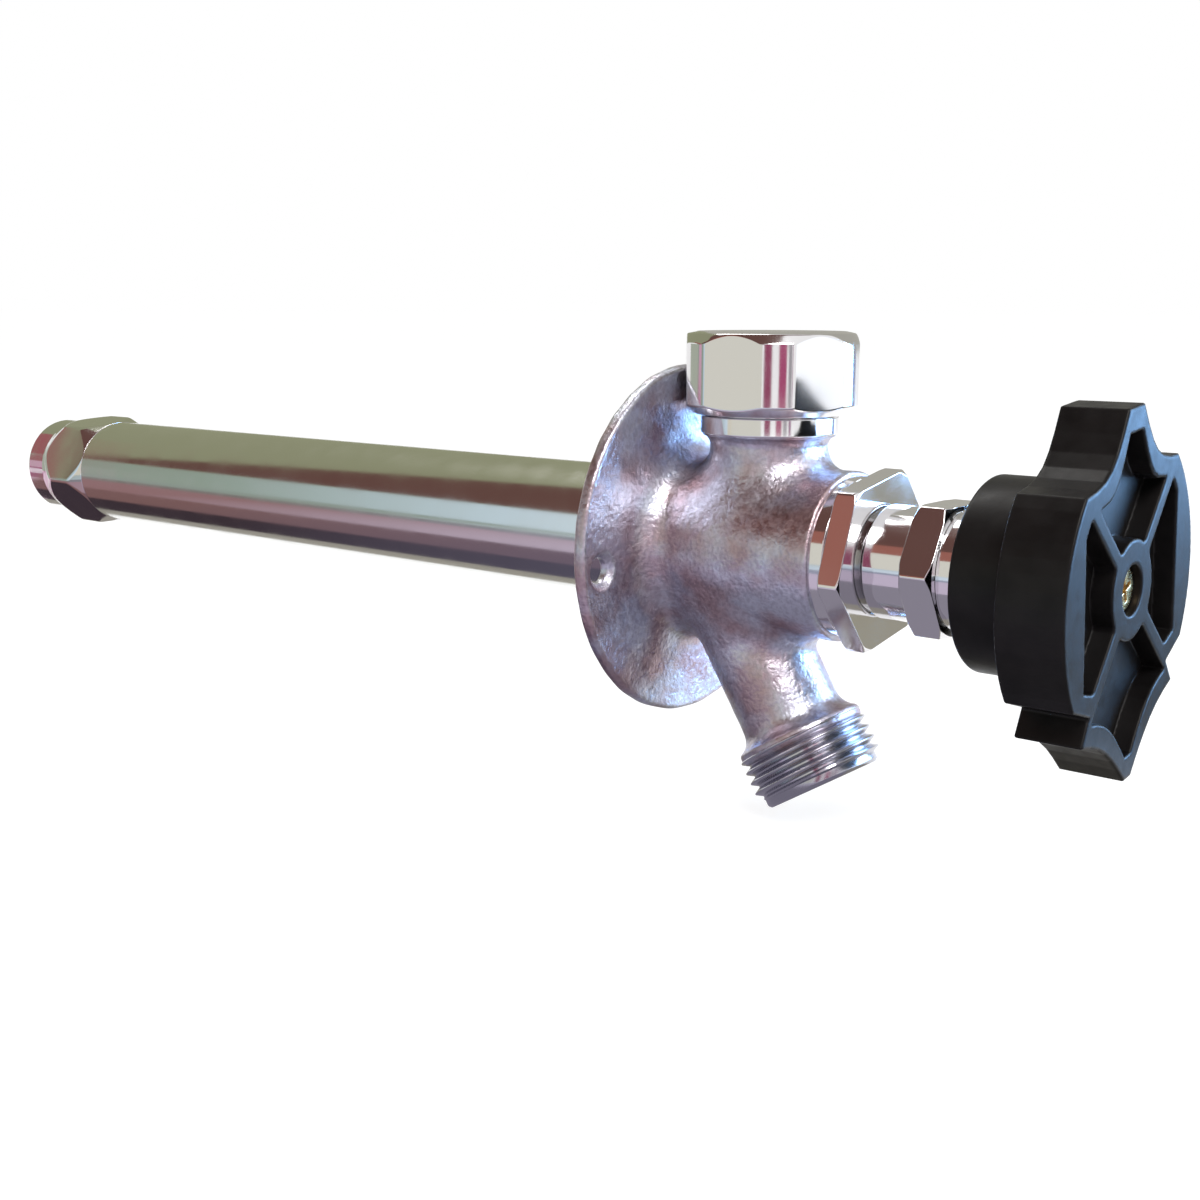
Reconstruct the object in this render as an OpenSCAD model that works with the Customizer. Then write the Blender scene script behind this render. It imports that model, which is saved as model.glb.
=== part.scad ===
// Frost free sillcock for a house wall: the valve seat sits at the inner end of a long tube,
// and the handle outside the wall works it through a rod.
// Lengths are in millimetres. The origin is on the tube axis at the wall plane, which is the
// back face of the flange. +Y runs into the wall, -Y towards the handle, +Z is up.
// A station is a distance in front of the wall plane, so it is negative inside the wall.

/* [Tube and inlet] */
// Outside diameter of the barrel tube
tube_od = 28.58; // [27:0.02:30]
// Wall thickness of the barrel tube
tube_wall = 1.25; // [1:0.05:1.6]
// Distance from the wall plane to the inlet end
reach = 236; // [230:1:360]
// Radius of the round inlet spigot
spigot_r = 13.7; // [13.2:0.05:14]
// Length of the inlet spigot
spigot_len = 9; // [8:0.5:12]
// Length of the taper between spigot and hex collar
collar_blend = 7.5; // [6:0.5:9]
// Distance across the flats of the inlet hex collar
collar_af = 28.7; // [28.3:0.1:30]
// Turn of the inlet hex collar about the tube axis, in degrees
collar_turn = 8; // [0:1:60]
// Length of the inlet hex collar
collar_len = 8.5; // [7:0.5:12]
// Length of the taper between hex collar and tube
collar_tail = 5; // [4:0.5:6]
// Bore radius of the solder cup, for 22.2 mm copper tube
cup_r = 11.18; // [11.12:0.02:11.3]
// Depth of the solder cup
cup_depth = 19; // [16:0.5:20]
// Radius of the water way through the valve seat
seat_bore_r = 6.5; // [5.5:0.1:7]
// Outer radius of the raised seat rim
seat_rim_r = 7.6; // [7.4:0.1:8.2]
// Height of the raised seat rim
seat_rim_h = 2.5; // [2:0.1:3]
// Length of the inlet fitting that sits inside the tube
sleeve_len = 14; // [12:0.5:20]
// Distance of the seat rim inside the mouth of that sleeve
seat_recess = 6; // [5:0.5:8]
// Wall thickness of that sleeve
sleeve_wall = 1.2; // [1:0.1:1.6]

/* [Flange and barrel] */
// Radius of the wall flange
flange_r = 36.4; // [35:0.1:40]
// Thickness of the wall flange
flange_t = 2.8; // [2.6:0.1:3.2]
// Diameter of the circle through the two screw holes
screw_pcd = 61.4; // [58:0.1:64]
// Turn of the screw hole line about the tube axis, in degrees
screw_turn = 5.8; // [0:0.1:15]
// Radius of the screw holes
screw_hole_r = 2.6; // [2.3:0.1:3]
// Radius of the screw hole countersinks
screw_sink_r = 3.8; // [3.4:0.1:4.4]
// Outer radius of the cast barrel
barrel_r = 16.8; // [16.4:0.1:18]
// Radius of the fillet between flange and barrel
flange_fillet = 6; // [4:0.5:8]
// Depth of the socket for the tube, from the wall plane
socket_depth = 5.5; // [4:0.1:5.7]
// Radius of the water chamber in the barrel
chamber_r = 12.2; // [11.8:0.1:12.6]
// Station where the water chamber ends and the bonnet thread starts
chamber_end = 29; // [28:0.5:31]
// Radius of the machined ring at the front of the body
front_ring_r = 15.9; // [15.4:0.1:16.6]
// Station where the machined ring starts
front_ring_start = 40; // [39:0.1:41]
// Station of the front face of the body
body_front = 43.4; // [43:0.1:45]

/* [Hose spout] */
// Station where the spout axis leaves the tube axis
spout_station = 6.5; // [5:0.1:8]
// Angle of the spout forward from straight down, in degrees
spout_tilt = 32; // [25:0.5:36]
// Outer radius of the spout neck
spout_neck_r = 10.4; // [10:0.1:11]
// Bore radius of the spout
spout_bore_r = 6.9; // [6.5:0.1:7]
// Outer radius of the hose thread crests
hose_thread_r = 13.49; // [13.4:0.01:13.6]
// Root radius of the hose thread
hose_root_r = 12.1; // [11.9:0.05:12.4]
// Pitch of the hose thread
hose_pitch = 2.209; // [2.1:0.001:2.4]
// Number of hose thread crests
hose_crests = 4; // [3:1:5]
// Width of the flat on top of each crest
hose_crest_flat = 0.5; // [0.4:0.05:0.6]
// Distance along the spout axis to the start of the hose thread
spout_thread_start = 45; // [43:0.5:48]
// Plain length between the last thread groove and the mouth
spout_lip = 1.9; // [1.5:0.1:3]

/* [Vacuum breaker] */
// Station of the vacuum breaker axis
tower_station = 20.9; // [20.9:0.1:22]
// Outer radius of the cast tower neck
tower_neck_r = 11.8; // [11.6:0.1:12.4]
// Height of the underside of the machined tower ring
tower_ring_z = 23.2; // [22:0.1:25]
// Radius of the machined tower ring
tower_ring_r = 13.75; // [13.4:0.05:14.4]
// Height of the machined tower ring
tower_ring_h = 3.6; // [3:0.1:4]
// Radius of the threaded stub that carries the cap
tower_stub_r = 12.6; // [12.4:0.05:13]
// Height of the threaded stub
tower_stub_h = 8.2; // [8:0.1:9]
// Radius of the water way up into the tower
tower_bore_r = 6.5; // [5.5:0.1:7]
// Radius of the chamber where the poppet floats
float_chamber_r = 9.4; // [9.2:0.1:9.6]
// Height of the floor that the poppet rests on
float_floor_z = 20.5; // [19.5:0.1:21.5]
// Lift of the poppet
poppet_lift = 2.5; // [1.5:0.1:2.6]
// Radius of the poppet disc
poppet_r = 8.9; // [8.6:0.1:9]
// Thickness of the poppet disc
poppet_t = 2.4; // [2:0.1:2.6]
// Radius of the poppet guide pin
poppet_pin_r = 2.4; // [2:0.1:2.6]
// Length of the poppet guide pin above the disc
poppet_pin_len = 11; // [9:0.5:12]
// Thickness of the rubber ring on the poppet
poppet_seal_t = 1.2; // [1:0.1:1.3]
// Thickness of the breaker seat ring
breaker_seat_t = 3; // [2:0.1:4]
// Radius of the breaker seat ring
breaker_seat_r = 10.4; // [10.2:0.05:10.6]
// Radius of the air way through the breaker seat ring
air_way_r = 6; // [5.5:0.1:6.4]
// Radius of the cap corners
cap_r = 17.8; // [17.2:0.1:17.8]
// Distance across the flats of the cap
cap_af = 33.6; // [33:0.1:34]
// Turn of the cap flats about the tower axis, in degrees
cap_turn = 37; // [0:1:60]
// Overall height of the cap
cap_h = 16.2; // [15:0.1:18]
// Gap between the tower ring and the cap
cap_gap = 0.3; // [0.2:0.05:0.5]
// Chamfer height at the top of the cap
cap_top_chamfer = 2.2; // [1.5:0.1:3]
// Chamfer width at the bottom of the cap
cap_foot_chamfer = 2.6; // [1.5:0.1:3]
// Thickness of the cap gasket
cap_gasket_t = 1; // [0.8:0.1:1.4]
// Thickness of the cap's top wall
cap_wall = 3; // [2.5:0.1:3.5]
// Width of the ledge inside the cap that presses the gasket
cap_gasket_lap = 2.6; // [2.2:0.1:3]

/* [Bonnet and packing] */
// Distance across the flats of the bonnet hex
bonnet_af = 31.75; // [31:0.05:33]
// Turn of the bonnet hex about the stem, in degrees
bonnet_turn = 10; // [0:1:60]
// Length of the bonnet hex
bonnet_hex_len = 4.8; // [4.6:0.1:6]
// Radius of the bonnet's round front face
bonnet_face_r = 17.4; // [16.6:0.1:17.6]
// Radius of the threaded bonnet sleeve inside the body
bonnet_sleeve_r = 11.4; // [11.2:0.05:11.6]
// Outer radius of the gland stub that carries the packing nut
gland_r = 8.9; // [8.6:0.05:9.2]
// Length of the gland stub
gland_len = 9.5; // [9:0.1:10]
// Radius of the packing chamber
packing_r = 6.8; // [6.4:0.05:7]
// Thickness of the packing ring
packing_t = 3.4; // [3:0.1:3.6]
// Thickness of the packing washer
follower_t = 1.8; // [1.5:0.1:2]
// Outer radius of the round skirt of the packing nut
nut_skirt_r = 11.05; // [10.6:0.05:11.4]
// Length of the skirt of the packing nut
nut_skirt_len = 8.8; // [8:0.1:9.4]
// Distance across the flats of the packing nut
nut_af = 24.4; // [23.8:0.1:25.4]
// Length of the packing nut hex
nut_hex_len = 6.6; // [6:0.1:7.4]
// Turn of the packing nut hex about the stem, in degrees
nut_turn = 0; // [0:1:60]
// Length of the round collar in front of the packing nut hex
nut_collar_len = 3.2; // [2.5:0.1:3.8]
// Gap between the bonnet face and the packing nut
nut_gap = 0.8; // [0.5:0.1:1.2]
// Wire radius of the bonnet O-ring
bonnet_ring_wire_r = 0.85; // [0.75:0.05:0.9]

/* [Stem and handle] */
// Radius of the operating rod
rod_r = 3.97; // [3.8:0.01:4.1]
// Radius of the threaded stem screw
stem_screw_r = 7; // [6.6:0.05:7.2]
// Length of the stem screw
stem_screw_len = 17; // [14:0.5:18]
// Pitch of the stem screw's thread crests
stem_pitch = 3; // [2.5:0.1:4]
// Depth of the stem screw's thread grooves
stem_groove = 0.9; // [0.7:0.1:1.1]
// Radius of the pin that fixes the stem screw to the rod
stem_pin_r = 1.2; // [1:0.05:1.4]
// Lift of the seat washer from shut to fully open
washer_lift = 6; // [4:0.5:7]
// Station of the rear face of the handle hub
hub_start = 70.2; // [69.5:0.1:72]
// Outer radius of the handle hub
hub_r = 18.3; // [17.5:0.1:19.5]
// Length of the handle hub behind the grip
hub_len = 13.8; // [13:0.1:15]
// Depth of the lobed grip
grip_depth = 12.2; // [11:0.1:14]
// Radius of the two side arcs of the grip
grip_r = 29; // [28.5:0.1:31]
// Radius of the upper point of the grip
grip_top_r = 32; // [31:0.1:34]
// Radius of the lower point of the grip
grip_foot_r = 35; // [33:0.1:37]
// Turn of the handle at rest, in degrees
handle_turn_rest = 6; // [0:0.5:20]
// Half width of the blunt upper point of the grip
grip_top_tip = 3.4; // [2.5:0.1:4]
// Half width of the lower point of the grip
grip_foot_tip = 1.6; // [1.2:0.1:2.4]
// Wall thickness of the hollow hub
handle_wall = 3; // [2.5:0.1:3.5]
// Width of the rim round the pockets at the grip's points
grip_rim = 4.5; // [3.5:0.1:5.5]
// Width of the rim beside the pockets at the grip's side arcs
grip_side_rim = 8.5; // [7:0.1:9.5]
// Depth of the pockets in the face of the grip
pocket_depth = 4; // [3:0.5:6]
// Outer radius of the handle's centre boss
boss_r = 9; // [8:0.1:9.5]
// Width of the handle spokes
spoke_w = 3; // [2.6:0.1:4]
// Side of the square end of the rod
square_side = 5.6; // [5.4:0.05:5.6]
// Length of the square end of the rod
square_len = 13; // [10:0.5:14]
// Radius of the handle screw's head
handle_screw_head_r = 4.2; // [3.8:0.1:4.6]
// Height of the handle screw's head
handle_screw_head_h = 2.2; // [1.8:0.1:2.6]
// Radius of the handle screw's shank
handle_screw_r = 1.9; // [1.7:0.05:2]
// Length of the handle screw's shank
handle_screw_len = 11; // [9:0.5:12]

/* [Plunger] */
// Outer radius of the plunger
plunger_r = 10.3; // [9.8:0.1:10.6]
// Length of the plunger's round body
plunger_body_len = 27; // [26:0.5:30]
// Length of the plunger's conical shoulder
plunger_cone_len = 6; // [4:0.5:8]
// Radius of the plunger's coupling block
plunger_block_r = 7.4; // [7:0.1:8]
// Length of the plunger's coupling block
plunger_block_len = 10; // [9.5:0.1:12]
// Distance across the plunger's milled flats
plunger_flats = 19.4; // [19:0.1:19.8]
// Thickness of the rubber seat washer
seat_washer_t = 4; // [3.5:0.1:4.5]
// Radius of the rubber seat washer
seat_washer_r = 9.2; // [9:0.1:9.4]
// Radius of the hollow washer screw's shank
washer_screw_r = 2.6; // [2.4:0.05:2.8]
// Distance from the plunger's back end to the relief valve axis
relief_offset = 16; // [14:0.5:18]
// Radius of the relief ball
relief_ball_r = 2.4; // [2.2:0.05:2.5]
// Radius of the relief ball's seat hole
relief_hole_r = 1.7; // [1.5:0.05:1.8]
// Radius of the recess over the relief hole
relief_recess_r = 4.5; // [4:0.1:5]
// Height of the underside of the relief ball's seat
relief_seat_z = 5.6; // [5.2:0.1:5.9]
// Travel of the relief ball
relief_travel = 1.4; // [1:0.1:1.6]
// Wire radius of the relief spring
relief_wire_r = 0.3; // [0.25:0.05:0.35]
// Number of turns in the relief spring
relief_turns = 4; // [3:1:5]

/* [Hidden] */
$fn = 96;

// Clearances: a fixed joint, a running fit, and the room left round loose pieces
fixed_gap = 0.04;
run_gap = 0.05;
loose_gap = 0.3;
contact_gap = 0.1;
cut = 1;

// Small fixed details: how far soft parts stand proud, and edge breaks on turned parts
washer_proud = 0.6;
float_top_gap = 0.4;
bonnet_web_setback = 1.5;
follower_proud = 0.3;
stem_end_gap = 0.6;
screw_recess = 3.6;
rod_end_gap = 0.4;
plug_setback = 0.4;
spout_flare = 3;

tube_r = tube_od / 2;
tube_bore_r = tube_r - tube_wall;
inlet_end = -reach;
collar_back = inlet_end + spigot_len + collar_blend;
collar_front = collar_back + collar_len;
tube_back = collar_front + collar_tail;
sleeve_end = tube_back + sleeve_len;
sleeve_r = tube_bore_r - fixed_gap;
sleeve_bore_r = sleeve_r - sleeve_wall;
seat_face = sleeve_end - seat_recess;
washer_back = seat_face + contact_gap;
plunger_back = washer_back + washer_proud;
plunger_shoulder = plunger_back + plunger_body_len;
plunger_neck = plunger_shoulder + plunger_cone_len;
plunger_front = plunger_neck + plunger_block_len;
relief_station = plunger_back + relief_offset;

spout_mouth = spout_thread_start + hose_crests * hose_pitch + spout_lip;
stub_top_z = tower_ring_z + tower_ring_h + tower_stub_h;
float_chamber_h = contact_gap + poppet_t + poppet_seal_t + poppet_lift + float_top_gap;
breaker_seat_z = float_floor_z + float_chamber_h;
cap_foot_z = tower_ring_z + tower_ring_h + cap_gap;
cap_top_z = cap_foot_z + cap_h;

bonnet_front = body_front + bonnet_hex_len;
gland_end = bonnet_front + gland_len;
stem_bore_end = bonnet_front + bonnet_web_setback;
packing_back = gland_end - packing_t - follower_t + follower_proud;
nut_back = bonnet_front + nut_gap;
nut_hex_back = nut_back + nut_skirt_len;
nut_hex_end = nut_hex_back + nut_hex_len;
nut_front = nut_hex_end + nut_collar_len;
follower_front = packing_back + packing_t + follower_t;

stem_screw_start = stem_bore_end - washer_lift - stem_screw_len - stem_end_gap;
grip_back = hub_start + hub_len;
grip_front = grip_back + grip_depth;
pocket_floor = grip_front - pocket_depth;
screw_seat = grip_front - screw_recess;
rod_front = screw_seat - rod_end_gap;

// Puts children at a station, with their own +Z pointing forward
module forward(station) {
    translate([0, -station, 0]) rotate([90, 0, 0]) children();
}

// A round bar between two stations
module bar(from, to, r) {
    forward(from) cylinder(r = r, h = to - from);
}

// A hexagonal bar between two stations, corners cut back to a radius at both ends
module hex_bar(from, to, across_flats, turn, face_r) {
    corner_r = across_flats / sqrt(3);
    bevel = (corner_r - face_r) * tan(30);
    forward(from) intersection() {
        rotate([0, 0, turn]) cylinder(r = corner_r, h = to - from, $fn = 6);
        rotate_extrude() polygon([
            [0, 0],
            [face_r, 0],
            [corner_r, bevel],
            [corner_r, to - from - bevel],
            [face_r, to - from],
            [0, to - from]
        ]);
    }
}

// Puts children on the spout axis, with their own +Z pointing out of the mouth
module along_spout() {
    translate([0, -spout_station, 0]) rotate([180 - spout_tilt, 0, 0]) children();
}

// Puts children on the vacuum breaker axis
module on_tower(z) {
    translate([0, -tower_station, z]) children();
}

// A round concave fillet between a disc face and a shaft of radius r
module fillet_ring(r, size) {
    rotate_extrude() difference() {
        translate([r - size, 0]) square([2 * size, size]);
        translate([r + size, size]) circle(r = size);
    }
}

module screw_holes() {
    rotate([0, -screw_turn, 0]) for (side = [-1, 1]) {
        translate([side * screw_pcd / 2, 0, 0]) {
            bar(-cut, flange_t + flange_fillet, screw_hole_r);
            forward(flange_t - (screw_sink_r - screw_hole_r))
                cylinder(r1 = screw_hole_r, r2 = screw_sink_r, h = screw_sink_r - screw_hole_r);
            bar(flange_t, flange_t + flange_fillet, screw_sink_r);
        }
    }
}

module hose_thread() {
    flank = (hose_pitch - hose_crest_flat) / 2;
    cylinder(r = hose_root_r, h = spout_mouth - spout_thread_start);
    for (i = [0:hose_crests - 1])
        translate([0, 0, i * hose_pitch]) {
            cylinder(r1 = hose_root_r, r2 = hose_thread_r, h = flank);
            translate([0, 0, flank]) cylinder(r = hose_thread_r, h = hose_crest_flat);
            translate([0, 0, flank + hose_crest_flat])
                cylinder(r1 = hose_thread_r, r2 = hose_root_r, h = flank);
        }
}

module body_outside() {
    flare_start = barrel_r - 2 * spout_flare;
    flare_end = barrel_r + 2 * spout_flare;
    ring_blend = 2;
    bar(0, flange_t, flange_r);
    forward(flange_t) fillet_ring(barrel_r, flange_fillet);
    bar(0, front_ring_start - ring_blend, barrel_r);
    forward(front_ring_start - ring_blend)
        cylinder(r1 = barrel_r, r2 = front_ring_r, h = ring_blend);
    bar(front_ring_start, body_front, front_ring_r);
    on_tower(0) {
        cylinder(r = tower_neck_r, h = tower_ring_z);
        translate([0, 0, tower_ring_z - (tower_ring_r - tower_neck_r)])
            cylinder(r1 = tower_neck_r, r2 = tower_ring_r, h = tower_ring_r - tower_neck_r);
        translate([0, 0, tower_ring_z]) cylinder(r = tower_ring_r, h = tower_ring_h);
        translate([0, 0, tower_ring_z + tower_ring_h]) cylinder(r = tower_stub_r, h = tower_stub_h);
    }
    along_spout() {
        translate([0, 0, flare_start]) {
            cylinder(r = spout_neck_r, h = spout_thread_start - flare_start);
            cylinder(r1 = spout_neck_r + spout_flare, r2 = spout_neck_r, h = flare_end - flare_start);
        }
        translate([0, 0, spout_thread_start - spout_flare])
            cylinder(r1 = spout_neck_r, r2 = hose_root_r, h = spout_flare);
        translate([0, 0, spout_thread_start]) hose_thread();
    }
}

module body_inside() {
    ring_pocket_r = bonnet_sleeve_r + 2 * bonnet_ring_wire_r + loose_gap;
    bar(-cut, socket_depth, tube_r + fixed_gap);
    bar(socket_depth - cut, chamber_end, chamber_r);
    bar(chamber_end - cut, body_front + cut, bonnet_sleeve_r + fixed_gap);
    bar(body_front - 2 * bonnet_ring_wire_r - contact_gap, body_front + cut, ring_pocket_r);
    on_tower(0) cylinder(r = tower_bore_r, h = float_floor_z + cut);
    on_tower(float_floor_z) cylinder(r = float_chamber_r, h = float_chamber_h + cut);
    on_tower(breaker_seat_z) cylinder(r = breaker_seat_r + fixed_gap, h = stub_top_z);
    along_spout() cylinder(r = spout_bore_r, h = spout_mouth + cut);
}

module valve_body() {
    color([0.72, 0.70, 0.74]) difference() {
        body_outside();
        body_inside();
        screw_holes();
    }
}

module barrel_tube() {
    color([0.70, 0.72, 0.64]) difference() {
        bar(tube_back, socket_depth, tube_r);
        bar(tube_back - cut, socket_depth + cut, tube_bore_r);
    }
}

module inlet_fitting() {
    lip = 1;
    seat_rim_slope = 1.2;
    collar_corner = collar_af / sqrt(3);
    shoulder_r = collar_af / 2;
    color([0.72, 0.68, 0.70]) difference() {
        union() {
            bar(inlet_end + lip, tube_back, spigot_r);
            forward(inlet_end) cylinder(r1 = spigot_r - lip, r2 = spigot_r, h = lip);
            forward(inlet_end) intersection() {
                rotate_extrude() polygon([
                    [0, spigot_len],
                    [spigot_r, spigot_len],
                    [collar_corner, collar_back - inlet_end],
                    [collar_corner, collar_front - inlet_end],
                    [shoulder_r, tube_back - inlet_end],
                    [0, tube_back - inlet_end]
                ]);
                rotate([0, 0, collar_turn]) cylinder(r = collar_corner, h = reach, $fn = 6);
            }
            bar(tube_back - cut, sleeve_end, sleeve_r);
        }
        bar(inlet_end - cut, inlet_end + cup_depth, cup_r);
        bar(inlet_end, seat_face + cut, seat_bore_r);
        difference() {
            bar(seat_face - seat_rim_h, sleeve_end + cut, sleeve_bore_r);
            forward(seat_face - seat_rim_h)
                cylinder(r1 = seat_rim_r + seat_rim_slope, r2 = seat_rim_r, h = seat_rim_h);
        }
    }
}

module bonnet() {
    color([0.74, 0.68, 0.66]) difference() {
        union() {
            bar(chamber_end, body_front + cut, bonnet_sleeve_r);
            hex_bar(body_front, bonnet_front, bonnet_af, bonnet_turn, bonnet_face_r);
            bar(bonnet_front - cut, gland_end, gland_r);
        }
        bar(chamber_end - cut, stem_bore_end, stem_screw_r + run_gap);
        bar(stem_bore_end - cut, gland_end, rod_r + run_gap);
        bar(packing_back, gland_end + cut, packing_r);
    }
}

module bonnet_o_ring() {
    mid_r = bonnet_sleeve_r + bonnet_ring_wire_r + contact_gap;
    color([0.08, 0.08, 0.08]) forward(body_front - bonnet_ring_wire_r - contact_gap / 2)
        rotate_extrude() translate([mid_r, 0]) circle(r = bonnet_ring_wire_r, $fn = 48);
}

module packing_nut() {
    nut_corner = nut_af / sqrt(3);
    corner_break = 1;
    collar_step = 0.2;
    color([0.70, 0.60, 0.58]) difference() {
        union() {
            bar(nut_back, nut_hex_back + cut, nut_skirt_r);
            hex_bar(nut_hex_back, nut_hex_end, nut_af, nut_turn, nut_corner - corner_break);
            bar(nut_hex_end - cut, nut_front, nut_skirt_r + collar_step);
        }
        bar(nut_back - cut, follower_front, gland_r + fixed_gap);
        bar(nut_back, nut_front + cut, rod_r + run_gap);
    }
}

module packing_ring() {
    color([0.15, 0.15, 0.16]) difference() {
        bar(packing_back, packing_back + packing_t, packing_r - fixed_gap);
        bar(packing_back - cut, gland_end, rod_r + run_gap);
    }
}

module packing_washer() {
    color([0.78, 0.62, 0.32]) difference() {
        bar(packing_back + packing_t, follower_front, packing_r - fixed_gap);
        bar(packing_back, gland_end + cut, rod_r + run_gap);
    }
}

// The rod ends at the back in a round button that turns in the plunger's slot
button_r = 4.6;
button_len = 4;
button_neck_r = 2.9;
button_setback = 1.6;
button_back = plunger_neck + button_setback;
button_front = button_back + button_len;
slot_front = button_front + loose_gap;

module stem_pin_shape(r) {
    translate([0, -(stem_screw_start + stem_screw_len / 2), 0]) cylinder(
        r = r,
        h = 2 * (stem_screw_r - stem_groove - contact_gap),
        center = true
    );
}

module operating_rod() {
    color([0.78, 0.64, 0.36]) difference() {
        union() {
            bar(button_back, button_front, button_r);
            bar(button_front - cut, plunger_front + 2 * cut, button_neck_r);
            bar(plunger_front + cut, rod_front - square_len, rod_r);
            forward(rod_front - (square_len + cut) / 2) rotate([0, 0, 45])
                cube([square_side, square_side, square_len + cut], center = true);
        }
        bar(rod_front - handle_screw_len, rod_front + cut, handle_screw_r + fixed_gap);
        stem_pin_shape(stem_pin_r + fixed_gap);
    }
}

module stem_screw() {
    crests = floor(stem_screw_len / stem_pitch);
    groove_w = stem_pitch / 2;
    first_groove = stem_screw_start + (stem_screw_len - crests * stem_pitch + groove_w) / 2;
    color([0.78, 0.62, 0.32]) difference() {
        bar(stem_screw_start, stem_screw_start + stem_screw_len, stem_screw_r);
        for (i = [0:crests - 1])
            forward(first_groove + i * stem_pitch) difference() {
                cylinder(r = stem_screw_r + cut, h = groove_w);
                cylinder(r = stem_screw_r - stem_groove, h = groove_w);
            }
        bar(stem_screw_start - cut, stem_screw_start + stem_screw_len + cut, rod_r + fixed_gap);
        stem_pin_shape(stem_pin_r + fixed_gap);
    }
}

module stem_pin() {
    color([0.6, 0.6, 0.62]) stem_pin_shape(stem_pin_r);
}

// A plastic spider that keeps the long rod central in the tube
module rod_guide() {
    guide_len = 12;
    guide_wall = 2;
    rib_w = 2;
    guide_station = (plunger_front + chamber_end) / 2;
    color([0.9, 0.9, 0.86]) difference() {
        union() {
            bar(guide_station, guide_station + guide_len, rod_r + guide_wall);
            intersection() {
                bar(guide_station, guide_station + guide_len, tube_bore_r - loose_gap);
                for (turn = [0:120:240]) forward(guide_station) rotate([0, 0, turn])
                    translate([-rib_w / 2, 0, 0]) cube([rib_w, tube_bore_r, guide_len]);
            }
        }
        bar(guide_station - cut, guide_station + guide_len + cut, rod_r + fixed_gap);
    }
}

// Corner angles of the grip, measured up from its side, and the narrowed foot lobe
notch_depth = 3.7;
foot_lobe_step = 1.7;
grip_high_angle = 44.5;
grip_low_angle = -31;
notch_angle = -45;
notch_r = grip_r - notch_depth;
foot_lobe_r = grip_r + foot_lobe_step;
foot_lobe_angle = -47;

// Points of a shallow concave curve between two points, bowed towards the centre
function bowed(a, b, bow, steps) = [
    for (i = [1:steps - 1])
        let (
            t = i / steps,
            p = a + (b - a) * t,
            inward = -p / norm(p)
        )
        p + inward * bow * 4 * t * (1 - t)
];
function polar(r, a) = [r * cos(a), r * sin(a)];
function mirrored(points) = [for (i = [len(points) - 1:-1:0]) [-points[i][0], points[i][1]]];

arc_steps = 10;
bow_steps = 6;
top_bow = 3.6;
foot_bow = 2;
side_arc = [
    for (i = [0:arc_steps])
        polar(grip_r, grip_low_angle + (grip_high_angle - grip_low_angle) * i / arc_steps)
];
top_tip = [grip_top_tip, grip_top_r];
foot_tip = [grip_foot_tip, -grip_foot_r];
foot_corner = polar(foot_lobe_r, foot_lobe_angle);
grip_right = concat(
    [foot_tip],
    bowed(foot_tip, foot_corner, foot_bow, bow_steps),
    [foot_corner, polar(notch_r, notch_angle)],
    side_arc,
    bowed(polar(grip_r, grip_high_angle), top_tip, top_bow, bow_steps),
    [top_tip]
);
grip_outline = concat(grip_right, mirrored(grip_right));

module grip_pockets() {
    pocket_half_w = grip_r - grip_side_rim;
    linear_extrude(height = pocket_depth + cut) difference() {
        intersection() {
            polygon([for (p = grip_outline) p * (1 - grip_rim / norm(p))]);
            square([2 * pocket_half_w, 2 * grip_foot_r], center = true);
        }
        circle(r = boss_r);
        for (a = [45, 135]) rotate(a) square([2 * grip_foot_r, spoke_w], center = true);
    }
}

module handle() {
    rear_hollow_r = hub_r - handle_wall;
    square_hole = square_side + 2 * fixed_gap;
    color([0.10, 0.10, 0.12]) forward(0) rotate([0, 0, handle_turn_rest]) difference() {
        union() {
            translate([0, 0, hub_start]) cylinder(r = hub_r, h = hub_len + cut);
            translate([0, 0, grip_back]) linear_extrude(height = grip_depth) polygon(grip_outline);
        }
        translate([0, 0, pocket_floor]) grip_pockets();
        translate([0, 0, hub_start - cut]) difference() {
            cylinder(r = rear_hollow_r, h = hub_len + cut);
            cylinder(r = boss_r, h = hub_len + cut);
        }
        translate([0, 0, hub_start - cut])
            cylinder(r = rod_r + fixed_gap, h = rod_front - square_len - hub_start + cut);
        translate([0, 0, (hub_start + rod_front) / 2]) rotate([0, 0, 45 - handle_turn_rest])
            cube([square_hole, square_hole, rod_front - hub_start], center = true);
        translate([0, 0, hub_start]) cylinder(r = handle_screw_r + fixed_gap, h = grip_front);
        translate([0, 0, screw_seat]) cylinder(r = handle_screw_head_r + loose_gap, h = grip_front);
    }
}

module handle_screw() {
    slot_w = 0.9;
    slot_depth = 1;
    slot_len = 1.2 * handle_screw_head_r;
    slot_turn = 20;
    head_front = screw_seat + handle_screw_head_h;
    color([0.80, 0.60, 0.34]) difference() {
        union() {
            bar(screw_seat, head_front, handle_screw_head_r);
            bar(rod_front - handle_screw_len + contact_gap, screw_seat + cut, handle_screw_r);
        }
        for (turn = [0, 90]) forward(head_front - slot_depth) rotate([0, 0, turn + slot_turn])
            translate([-slot_len / 2, -slot_w / 2, 0]) cube([slot_len, slot_w, slot_depth + cut]);
    }
}

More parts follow.
